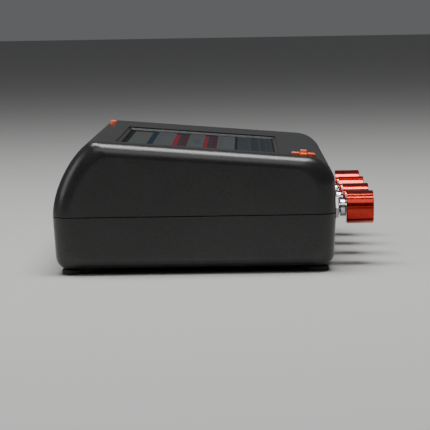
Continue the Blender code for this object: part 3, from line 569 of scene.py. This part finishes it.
def caseCorners():
    half = caseLength / 2
    lean, upper = case["rearLean"], case["upperDraft"]
    run = case["rearStart"] + arcRun(case["rearRadius"], lean - upper)
    shoulder = Vector((caseX - half, splitZ)) + run * Vector((math.sin(upper), math.cos(upper)))
    fall = math.tan(topTilt)
    deckHeight = deckOrigin.z - (shoulder.x - deckOrigin.x) * fall
    reach = (deckHeight - shoulder.y) / (math.cos(lean) + math.sin(lean) * fall)
    rearTop = shoulder + reach * Vector((math.sin(lean), math.cos(lean)))
    frontX = caseX + half - (deckOrigin.z - splitZ) * math.tan(upper)
    frontTop = Vector((frontX, deckOrigin.z - (frontX - deckOrigin.x) * fall))
    draft = (splitZ - baseZ) * math.tan(case["lowerDraft"])
    return {"shoulder": shoulder, "rearTop": rearTop, "frontTop": frontTop,
            "rearBottom": Vector((caseX - half + draft, baseZ)),
            "frontBottom": Vector((caseX + half - draft, baseZ))}


def roundSides(side):
    # steps outwards from the straight middle, and draws each step in, so that the side's edges are round
    plan, edge = case["planRadius"], case["edgeRadius"]
    steps = case["sideSteps"]
    halfHeight = (deckOrigin.z - baseZ) / 2
    before = (1.0, 1.0, plan)
    for k in range(1, steps + 1):
        swing = math.pi / 2 * (1 - k / steps)
        depth = plan * (1 - math.cos(swing))
        drop = edge - math.sqrt(edge ** 2 - max(edge - depth, 0) ** 2)
        wide = 1 - plan * (1 - math.sin(swing)) / (caseLength / 2)
        tall = 1 - drop / halfHeight
        outwards = (0, side * (before[2] - depth), 0)
        bpy.ops.mesh.extrude_region_move(TRANSFORM_OT_translate={"value": outwards})
        bpy.ops.transform.resize(value=(wide / before[0], 1, tall / before[1]),
                                 center_override=(caseX, 0, splitZ))
        before = (wide, tall, depth)


def makeCase():
    corners = caseCorners()
    half, straight = caseLength / 2, caseWidth / 2 - case["planRadius"]
    block = addBox("caseBlock", (caseX - half, -straight, baseZ),
                   (caseX + half, straight, corners["rearTop"].y + case["spare"]))
    startEdit(block)
    lean, upper, lower = case["rearLean"], case["upperDraft"], case["lowerDraft"]
    bisect(deckOrigin, deckNormal)
    bisect((corners["shoulder"].x, 0, corners["shoulder"].y), (-math.cos(lean), 0, math.sin(lean)))
    for way in (-1, 1):
        edgeSpot = (caseX + way * half, 0, splitZ)
        bisect(edgeSpot, (way * math.cos(upper), 0, math.sin(upper)))
        bisect(edgeSpot, (way * math.cos(lower), 0, -math.sin(lower)))
    bisect((caseX, 0, splitZ), (0, 0, 1), clear=False)
    square = math.pi / 2
    roundCorner(corners["shoulder"], case["rearRadius"], lean - upper, case["shoulderSteps"])
    roundCorner(corners["rearTop"], case["rearTopRadius"], square - lean + topTilt, case["rearTopSteps"])
    roundCorner(corners["frontTop"], case["frontTopRadius"], square - upper - topTilt, case["frontTopSteps"])
    for name in ("rearBottom", "frontBottom"):
        roundCorner(corners[name], case["bottomRadius"], square - lower, case["bottomSteps"])
    bpy.ops.mesh.select_mode(type="FACE")
    for side in (-1, 1):
        pickFaces(lambda middle, normal: abs(normal.y - side) < 1e-3)
        roundSides(side)
    bpy.ops.mesh.select_all(action="SELECT")
    bpy.ops.mesh.remove_doubles(threshold=tiny)
    bpy.ops.mesh.normals_make_consistent(inside=False)
    endEdit()
    return block


def makeHollow(block):
    # the wall goes on while the case is still closed, so that both rims come out flat
    step = block.modifiers.new("wall", "SOLIDIFY")
    step.thickness = case["wall"]
    step.offset = -1
    step.use_quality_normals = True
    applyAll(block)


def takeShell(block, name, keepAbove):
    shell = copyPiece(block, name)
    startEdit(shell)
    bpy.ops.mesh.select_all(action="SELECT")
    rim = splitZ + (gap / 2 if keepAbove else -gap / 2)
    onRim = 0.0001 * mm      # how near to the rim's height counts as on it
    bpy.ops.mesh.bisect(plane_co=(0, 0, rim), plane_no=(0, 0, 1), clear_outer=not keepAbove,
                        clear_inner=keepAbove, use_fill=True, threshold=onRim)

    def onOuterRim(a, b):
        return all(abs(p.z - rim) <= onRim and outsideCore(p) for p in (a, b))

    pickEdges(onOuterRim)
    bpy.ops.mesh.bevel(offset=case["seamEdge"], offset_type="OFFSET", segments=2, clamp_overlap=True)
    endEdit()
    return shell


def outsideCore(spot):
    # true on the outer face of the case at the height of the seam, and false on its inner face
    x = abs(spot.x - caseX) - (caseLength / 2 - case["planRadius"])
    y = abs(spot.y) - (caseWidth / 2 - case["planRadius"])
    return math.hypot(max(x, 0), max(y, 0)) > case["planRadius"] - case["wall"] / 2


windowLow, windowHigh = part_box("display_window")
chamfer = 1.3 * mm           # width and depth of the sloping rim
opening = {
    "centre": (1.5 * mm, (windowLow.y + windowHigh.y) / 2), "upright": 0.55 * mm,
    "size": (65 * mm, windowHigh.y - windowLow.y + 2 * (gap + chamfer)), "corner": 0.7 * mm,
    "windowEdge": 0.1 * mm,
}


def cutOpening(shell):
    u, v = opening["centre"]
    halfU, halfV = opening["size"][0] / 2 - chamfer, opening["size"][1] / 2 - chamfer
    tool = addBox("openingTool", (u - halfU, v - halfV, -throughTop), (u + halfU, v + halfV, -chamfer))
    startEdit(tool, "EDGE")
    pickEdges(longAlong("z"))
    bpy.ops.mesh.bevel(offset=opening["corner"], offset_type="OFFSET", segments=4)
    bpy.ops.mesh.select_mode(type="FACE")
    pickFaces(lambda middle, normal: normal.z > 0.9)
    # the slope of the rim stops short of the surface, where an upright step meets the top
    bpy.ops.mesh.extrude_region_move(TRANSFORM_OT_translate={"value": (0, 0, chamfer - opening["upright"])})
    bpy.ops.transform.resize(value=(1 + chamfer / halfU, 1 + chamfer / halfV, 1), center_override=(u, v, 0))
    bpy.ops.mesh.extrude_region_move(TRANSFORM_OT_translate={"value": (0, 0, 2 * chamfer)})
    endEdit()
    carve(shell, [placeOnDeck(tool)])


def paintRimShade(shell):
    # the slope and the upright step of the rim take a darker colour than the shell: painted shade for the
    # walls of the display's recess
    shell.data.materials.append(surfaces["rim"])
    u, v = opening["centre"]
    reachU, reachV = (side / 2 + close for side in opening["size"])
    toDeck = deckPlace.inverted()
    for face in shell.data.polygons:
        spot = toDeck @ face.center
        inside = abs(spot.x - u) < reachU and abs(spot.y - v) < reachV
        if inside and -chamfer - 0.01 * mm < spot.z < -opening["upright"] / 5:
            face.material_index = 1


pad = {
    "span": 9.4 * mm, "arm": 2.8 * mm, "rise": 0.95 * mm, "sink": 0.35 * mm, "edge": 0.42 * mm,
    "pocketDepth": 0.9 * mm, "pocketGap": 0.55 * mm, "pocketCorner": 0.3 * mm, "pocketReach": 3 * mm,
    "hub": 1.9 * mm, "hubGap": 0.7 * mm, "hubCutTop": 0.45 * mm, "hubDepth": 5.6 * mm, "hubTop": 0.2 * mm,
    "pin": 0.4 * mm, "pinReach": (1.4 * mm, 3.0 * mm), "boreDepth": 8 * mm, "boreReach": 4 * mm,
    "key": 2.7 * mm, "keyRise": 1.05 * mm, "keyEdge": 0.38 * mm, "plunger": 0.8 * mm,
    "plungerDepth": 6.2 * mm, "travel": 0.5 * mm, "spareTravel": 0.06 * mm,
}
padU = (padPivot - deckOrigin).dot(slope)
padV = padPivot.y
powerSpot = middleOf("power_switch")     # the switch sits square under its button
powerU = (powerSpot - deckOrigin).dot(slope)
powerV = powerSpot.y
power = {
    "radius": 1.4 * mm, "rise": 1.5 * mm, "dome": 0.6 * mm, "flange": 2.1 * mm, "flangeHeight": 0.8 * mm,
    "skirt": 0.6 * mm, "stem": 0.7 * mm, "wellTop": 0.2 * mm,
}


def addCross(name, halfArm, halfSpan, low, high):
    # a square whose four sides are drawn out into arms
    cross = addBox(name, (padU - halfArm, padV - halfArm, low), (padU + halfArm, padV + halfArm, high))
    startEdit(cross)
    reach = halfSpan - halfArm
    for way in ((1, 0), (-1, 0), (0, 1), (0, -1)):
        armU, armV = padU + way[0] * halfArm, padV + way[1] * halfArm
        pickFaces(lambda middle, normal: abs(middle.x - armU) < tiny and abs(middle.y - armV) < tiny
                  and abs(normal.z) < 0.5)
        outwards = (way[0] * reach, way[1] * reach, 0)
        bpy.ops.mesh.extrude_region_move(TRANSFORM_OT_translate={"value": outwards})
    endEdit()
    return cross


def cutTop(shell):
    pocket = addCross("pocketTool", pad["arm"] / 2 + pad["pocketGap"], pad["span"] / 2 + pad["pocketGap"],
                      -pad["pocketDepth"], pad["pocketReach"])
    startEdit(pocket, "EDGE")
    pickEdges(longAlong("z"))
    bpy.ops.mesh.bevel(offset=pad["pocketCorner"], offset_type="OFFSET", segments=3)
    endEdit()
    hub = addRod("hubTool", pad["hub"] + pad["hubGap"], (padU, padV, -throughTop),
                 (padU, padV, -pad["hubCutTop"]))
    hole = addRod("powerTool", power["radius"] + gap, (powerU, powerV, -throughTop),
                  (powerU, powerV, throughTop), 48)
    well = addRod("powerWell", power["flange"] + gap, (powerU, powerV, -throughTop),
                  (powerU, powerV, -wall + power["wellTop"]), 48)
    carve(shell, [placeOnDeck(tool) for tool in (pocket, hub, hole, well)])


wallHoles = {
    "bushing": 3.3 * mm, "bushingReach": 20 * mm, "port": (9.5 * mm, 3.8 * mm), "portCorner": 1.2 * mm,
    "portReach": 5 * mm, "microphone": 0.6 * mm, "microphoneInside": 3 * mm, "microphoneOutside": 6 * mm,
}


def cutFront(shell):
    tools = [addRod(f"bushingTool{n}", wallHoles["bushing"], (caseX, axis.y, splitZ),
                    (axis.x + wallHoles["bushingReach"], axis.y, splitZ)) for n, axis in knobAxes.items()]
    carve(shell, tools)


def cutFarSide(shell):
    low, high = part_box("usb_port")
    middle = (low + high) / 2
    halfX, halfZ = wallHoles["port"][0] / 2, wallHoles["port"][1] / 2
    reach = wallHoles["portReach"]
    port = addBox("portTool", (middle.x - halfX, high.y - reach, middle.z - halfZ),
                  (middle.x + halfX, high.y + reach, middle.z + halfZ))
    startEdit(port, "EDGE")
    pickEdges(longAlong("y"))
    bpy.ops.mesh.bevel(offset=wallHoles["portCorner"], offset_type="OFFSET", segments=6)
    endEdit()
    low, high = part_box("microphone")
    ear = Vector(((low.x + high.x) / 2, high.y, (low.z + high.z) / 2))
    hole = addRod("microphoneTool", wallHoles["microphone"],
                  ear - Vector((0, wallHoles["microphoneInside"], 0)),
                  ear + Vector((0, wallHoles["microphoneOutside"], 0)), 32)
    carve(shell, [port, hole])


underside = {
    "screwSeat": 2.6 * mm, "seatTop": 5.6 * mm, "footStem": 2.1 * mm, "stemTop": 6 * mm, "below": 2 * mm,
}


def cutUnderside(shell):
    tools = []
    below = -underside["below"]
    for n in cornerNumbers:
        x, y = middleOf(f"case_screw_{n}").xy
        tools.append(addRod(f"seatTool{n}", underside["screwSeat"], (x, y, below),
                            (x, y, underside["seatTop"]), 40))
        x, y = middleOf(f"foot_{n}").xy
        tools.append(addRod(f"stemTool{n}", underside["footStem"], (x, y, below),
                            (x, y, underside["stemTop"]), 32))
    carve(shell, tools)


caseBlock = makeCase()
makeHollow(caseBlock)
upperShell = takeShell(caseBlock, "upperShell", True)
lowerShell = takeShell(caseBlock, "lowerShell", False)
discard(caseBlock)
cutOpening(upperShell)
cutTop(upperShell)
for shell in (upperShell, lowerShell):
    cutFront(shell)
cutFarSide(lowerShell)
cutUnderside(lowerShell)
for shell in (upperShell, lowerShell):
    finishShading(shell, case["shadeAngle"])
finishPiece(upperShell, surfaces["graphite"], "root", ["upper_shell"])
finishPiece(lowerShell, surfaces["graphite"], "root", ["lower_shell"])
paintRimShade(upperShell)

print("stage: display")
# colours of the picture, among them a painted highlight and painted shade at its edges, and its patches as
# (from rear, to, from far, to, colour), painted in order
pictureColours = {
    "border": (0.0035, 0.0041, 0.0052), "navy": (0.0058, 0.0093, 0.0174),
    "paleGreen": (0.0296, 0.0368, 0.0317), "paleGrey": (0.0326, 0.0352, 0.0352),
    "red": (0.0812, 0.007, 0.0104), "darkRed": (0.0348, 0.0058, 0.0081),
    "slate": (0.011, 0.0142, 0.0173), "blueGrey": (0.015, 0.0182, 0.0221),
    "lightSlate": (0.0197, 0.0237, 0.0268), "pink": (0.0434, 0.0281, 0.0296),
    # bevel is a painted highlight: the lit grey look of the recess's right wall, painted on the picture's
    # edge
    "bluish": (0.0245, 0.0286, 0.0388), "bevel": (0.0158, 0.0162, 0.0166),
}
picturePatches = [
    # the strip along the rear edge is partly the picture's own dark border and partly painted shade from the
    # recess's left wall
    (0, 1, 0, 1, "navy"), (0, 0.03, 0, 1, "border"),
    (0.035, 0.16, 0.1, 0.88, "paleGreen"), (0.065, 0.13, 0.15, 0.35, "pink"),
    (0.16, 0.197, 0, 0.85, "navy"), (0.13, 0.17, 0.82, 0.98, "red"),
    (0.2, 0.325, 0.03, 0.95, "paleGrey"), (0.325, 0.357, 0.12, 0.92, "red"),
    (0.357, 0.386, 0.12, 0.92, "slate"), (0.386, 0.414, 0.12, 0.92, "darkRed"),
    (0.42, 0.53, 0.03, 0.95, "paleGrey"), (0.457, 0.53, 0.08, 0.25, "pink"),
    (0.457, 0.5, 0.33, 0.6, "bluish"), (0.532, 0.557, 0.12, 0.92, "red"),
    (0.56, 0.586, 0.12, 0.92, "slate"), (0.589, 0.614, 0.12, 0.92, "darkRed"),
    (0.62, 0.74, 0.03, 0.95, "paleGrey"), (0.74, 0.757, 0.03, 0.95, "border"),
    (0.757, 0.85, 0, 0.95, "blueGrey"), (0.85, 0.957, 0, 0.95, "slate"),
    (0.838, 0.845, 0, 0.95, "lightSlate"), (0.904, 0.911, 0, 0.95, "lightSlate"),
    # the last patch is painted highlight: a pale band standing for the lit right wall of the recess
    (0.95, 0.957, 0, 0.95, "lightSlate"), (0.964, 1, 0, 1, "bevel"),
]
# short marks along three lanes, each (from rear, to), at even steps
pictureTicks = {
    "lanes": [(0.21, 0.24), (0.43, 0.45), (0.63, 0.66)], "steps": 16, "from": 0.08, "to": 0.9,
    "width": 0.006, "colour": "slate",
}
tickRun = pictureTicks["to"] - pictureTicks["from"]
for k in range(pictureTicks["steps"] + 1):
    place = pictureTicks["from"] + tickRun * k / pictureTicks["steps"]
    for lane in pictureTicks["lanes"]:
        picturePatches.append((*lane, place, place + pictureTicks["width"], pictureTicks["colour"]))


def paintPicture(window, low, high):
    layer = window.data.color_attributes.new("picture", "FLOAT_COLOR", "CORNER")
    size = high - low
    for face in window.data.polygons:
        u = (face.center.x - low.x) / size.x
        v = (high.y - face.center.y) / size.y
        colour = pictureColours["border"]
        if face.normal.z > 0.5:
            for patch in picturePatches:
                if patch[0] < u < patch[1] and patch[2] < v < patch[3]:
                    colour = pictureColours[patch[4]]
        for corner in face.loop_indices:
            layer.data[corner].color = (*colour, 1)


def makeWindow():
    u, v = opening["centre"]
    side = chamfer + gap
    halfU, halfV = opening["size"][0] / 2 - side, opening["size"][1] / 2 - side
    low = Vector((u - halfU, v - halfV, -wall))
    high = Vector((u + halfU, v + halfV, -chamfer))
    window = addBox("displayWindow", low, high)
    softenEdges(window, opening["windowEdge"], 1)
    startEdit(window)
    for share in sorted({value for patch in picturePatches for value in patch[:2]} - {0, 1}):
        bisect((low.x + share * (high.x - low.x), 0, 0), (1, 0, 0), clear=False)
    for share in sorted({value for patch in picturePatches for value in patch[2:4]} - {0, 1}):
        bisect((0, high.y - share * (high.y - low.y), 0), (0, 1, 0), clear=False)
    endEdit()
    paintPicture(window, low, high)
    placeOnDeck(window)
    finishPiece(window, surfaces["picture"], "root", ["display_window"])


makeWindow()

print("stage: pad and buttons")


def makePad():
    piece = addCross("padCross", pad["arm"] / 2, pad["span"] / 2, -pad["sink"], pad["rise"])
    startEdit(piece)
    bpy.ops.mesh.select_all(action="SELECT")
    bpy.ops.mesh.dissolve_limited(angle_limit=math.radians(1))
    endEdit()
    softenEdges(piece, pad["edge"], 4)
    hub = addRod("padHub", pad["hub"], (padU, padV, -pad["hubDepth"]), (padU, padV, pad["hubTop"]))
    pinStart, pinEnd = pad["pinReach"]
    pins = [addRod(f"padPin{way}", pad["pin"], (padU + way * pinStart, padV, -pivotDepth),
                   (padU + way * pinEnd, padV, -pivotDepth), 24) for way in (-1, 1)]
    carve(piece, [hub, *pins], "UNION")
    bore = addRod("padBore", pad["plunger"] + gap, (padU, padV, -pad["boreDepth"]),
                  (padU, padV, pad["boreReach"]), 40)
    half = pad["key"] / 2 + gap
    seatDepth = pad["travel"] + gap + pad["spareTravel"]
    seat = addBox("padSeat", (padU - half, padV - half, pad["rise"] - seatDepth),
                  (padU + half, padV + half, pad["boreReach"]))
    carve(piece, [bore, seat])
    startEdit(piece)
    bpy.ops.mesh.select_all(action="SELECT")
    bpy.ops.mesh.dissolve_degenerate(threshold=tiny)
    bpy.ops.mesh.remove_doubles(threshold=tiny)
    endEdit()
    placeOnDeck(piece)
    finishShading(piece)
    finishPiece(piece, surfaces["orange"], "pad", ["nav_pad"])


def makeCentreKey():
    half = pad["key"] / 2
    piece = addBox("centreKey", (padU - half, padV - half, pad["rise"] - gap),
                   (padU + half, padV + half, pad["rise"] + pad["keyRise"]))
    softenEdges(piece, pad["keyEdge"], 5)
    plunger = addRod("keyPlunger", pad["plunger"], (padU, padV, -pad["plungerDepth"]),
                     (padU, padV, pad["rise"]), 40)
    carve(piece, [plunger], "UNION")
    placeOnDeck(piece)
    finishShading(piece)
    finishPiece(piece, surfaces["orange"], "centre_key", ["nav_button"])


def makePowerButton():
    stemLow = (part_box("power_button")[0] - deckOrigin).dot(deckNormal)
    piece = addRod("powerButton", power["radius"], (powerU, powerV, -wall - power["skirt"]),
                   (powerU, powerV, power["rise"]))
    startEdit(piece, "EDGE")
    pickEdges(lambda a, b: min(a.z, b.z) > 1 * mm)
    bpy.ops.mesh.bevel(offset=power["dome"], offset_type="OFFSET", segments=6)
    endEdit()
    flange = addRod("powerFlange", power["flange"], (powerU, powerV, -wall - gap - power["flangeHeight"]),
                    (powerU, powerV, -wall - gap))
    stem = addRod("powerStem", power["stem"], (powerU, powerV, stemLow),
                  (powerU, powerV, -wall - gap * 2), 32)
    carve(piece, [flange, stem], "UNION")
    placeOnDeck(piece)
    finishShading(piece)
    finishPiece(piece, surfaces["orange"], "power_key", ["power_button"])


makePad()
makeCentreKey()
makePowerButton()

print("stage: knobs")
knob = {
    "radius": 6.65 * mm, "start": 4.9 * mm, "length": 10.95 * mm, "chamfer": 0.45 * mm, "sides": 128,
    "flutes": 8, "fluteWidth": 1.2 * mm, "fluteDepth": 0.8 * mm, "dish": 0.35 * mm, "dishRim": 1.3 * mm,
    "fluteEdge": 0.35 * mm, "dishSlope": 0.25 * mm, "edge": 0.12 * mm,
    "bore": 2.0 * mm, "boreEnd": 2.2 * mm, "grub": 1.2 * mm, "grubPlace": 3.2 * mm, "boreReach": 20 * mm,
    "collar": 3.7 * mm, "collarStart": 2.4 * mm, "collarLength": 2.2 * mm, "collarEdge": 0.28 * mm,
    "nutFlats": 8.2 * mm, "nutStart": 0.3 * mm, "nutLength": 1.5 * mm, "nutBore": 3.3 * mm,
    "nutEdge": 0.16 * mm,
    "turns": {1: 2.5, 2: 38.5, 3: 15.5, 4: 32.5},   # degrees, how each knob was left
}


def makeKnob():
    # one knob at the origin, along X, that the others are copied from
    start, end = knob["start"], knob["start"] + knob["length"]
    piece = addRod("knobModel", knob["radius"], (start, 0, 0), (end, 0, 0), knob["sides"])
    startEdit(piece, "EDGE")
    pickEdges(lambda a, b: abs(a.x - b.x) < tiny)
    bpy.ops.mesh.bevel(offset=knob["chamfer"], offset_type="OFFSET", segments=2, profile=0.6)
    bpy.ops.mesh.select_mode(type="FACE")
    pickFaces(lambda middle, normal: normal.x > 0.99 and middle.x > end - tiny)
    bpy.ops.mesh.inset(thickness=knob["dishRim"])
    bpy.ops.mesh.inset(thickness=knob["dishSlope"], depth=-knob["dish"])
    endEdit()
    half, alongX = knob["fluteWidth"] / 2, longAlong("x")
    tool = addBox("fluteTool", (0, -2 * knob["radius"], -half),
                  (end * 2, -knob["radius"] + knob["fluteDepth"], half))
    startEdit(tool, "EDGE")
    pickEdges(lambda a, b: min(a.y, b.y) > -knob["radius"] and alongX(a, b))
    bpy.ops.mesh.bevel(offset=knob["fluteEdge"], offset_type="OFFSET", segments=4)
    endEdit()
    flutes = [copyPiece(tool, f"flute{k}", Matrix.Rotation(2 * math.pi * k / knob["flutes"], 4, "X"))
              for k in range(knob["flutes"])]
    discard(tool)
    bore = addRod("boreTool", knob["bore"], (0, 0, 0), (end - knob["boreEnd"], 0, 0), 48)
    way = Matrix.Rotation(math.pi / knob["flutes"], 3, "X") @ Vector((0, 0, -1))
    seat = Vector((start + knob["grubPlace"], 0, 0))
    grub = addRod("grubTool", knob["grub"], seat, seat + way * 2 * knob["radius"], 40)
    carve(piece, [*flutes, bore, grub])
    softenEdges(piece, knob["edge"], 2, 40)
    finishShading(piece)
    return piece


def makeCollar():
    start = knob["collarStart"]
    piece = addRod("collarModel", knob["collar"], (start, 0, 0), (start + knob["collarLength"], 0, 0), 96)
    bore = addRod("collarBore", knob["bore"], (0, 0, 0), (knob["boreReach"], 0, 0), 48)
    carve(piece, [bore])
    softenEdges(piece, knob["collarEdge"], 4, 50)
    finishShading(piece)
    return piece


def makeNut():
    start = knob["nutStart"]
    piece = addRod("nutModel", knob["nutFlats"] / 2 / math.cos(math.pi / 6), (start, 0, 0),
                   (start + knob["nutLength"], 0, 0), 6)
    bore = addRod("nutBore", knob["nutBore"], (0, 0, 0), (knob["boreReach"], 0, 0))
    carve(piece, [bore])
    softenEdges(piece, knob["nutEdge"], 3, 50)
    finishShading(piece)
    return piece


models = {"knob": makeKnob(), "collar": makeCollar(), "nut": makeNut()}
for n, axis in knobAxes.items():
    turned = Matrix.Translation(axis) @ Matrix.Rotation(-math.radians(knob["turns"][n]), 4, "X")
    finishPiece(copyPiece(models["knob"], f"knob{n}", turned), redFinishes[n],
                f"control_{n}", [f"knob_{n}"])
    finishPiece(copyPiece(models["collar"], f"collar{n}", turned), surfaces["chrome"],
                f"control_{n}", [f"knob_collar_{n}"])
    finishPiece(copyPiece(models["nut"], f"nut{n}", Matrix.Translation(axis)), surfaces["chrome"],
                "root", [f"encoder_nut_{n}"])
for model in models.values():
    discard(model)

print("stage: feet")
foot = {
    "radius": 4.6 * mm, "height": 2 * mm, "edge": 0.55 * mm, "stem": 1.8 * mm, "stemFrom": 1 * mm,
    "ring": 2.9 * mm, "ringDepth": 0.25 * mm, "ringSlope": 0.2 * mm,
}


def makeFoot():
    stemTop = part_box("foot_1")[1].z
    piece = addRod("footModel", foot["radius"], (0, 0, 0), (0, 0, foot["height"]), 72)
    startEdit(piece)
    pickFaces(lambda middle, normal: normal.z < -0.9)
    bpy.ops.mesh.inset(thickness=foot["radius"] - foot["ring"])
    bpy.ops.mesh.inset(thickness=foot["ringSlope"], depth=-foot["ringDepth"])
    endEdit()
    softenEdges(piece, foot["edge"], 5, 60)
    stem = addRod("footStem", foot["stem"], (0, 0, foot["stemFrom"]), (0, 0, stemTop), 40)
    carve(piece, [stem], "UNION")
    finishShading(piece)
    return piece


footModel = makeFoot()
for n in cornerNumbers:
    spot = Matrix.Translation((*middleOf(f"foot_{n}").xy, 0))
    finishPiece(copyPiece(footModel, f"foot{n}", spot), surfaces["rubber"], "root",
                [f"foot_{n}"])
discard(footModel)

print("stage: inner parts")
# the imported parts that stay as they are, and the finish each takes
keptFinishes = {
    "steel": ["case_screw_", "display_screw_", "board_screw_", "nav_gimbal", "encoder_shaft_",
              "knob_screw_", "usb_port", "microphone"],
    "blackPlastic": [*(f"encoder_{n}" for n in knobNumbers), "nav_switch", "power_switch",
                     "battery_holder", "display_panel"],
    "gasketFoam": ["display_gasket"],
    "whitePlastic": ["backlight_tray"],
    "board": ["display_board", "encoder_board", "main_board"],
    "copperFilm": ["ribbon_cable"],
    "cellFilm": ["battery_cell_"],
}
for finish, starts in keptFinishes.items():
    for name, node in nodes.items():
        if any(name.startswith(start) for start in starts):
            for place in node.material_slots:
                place.material = surfaces[finish]
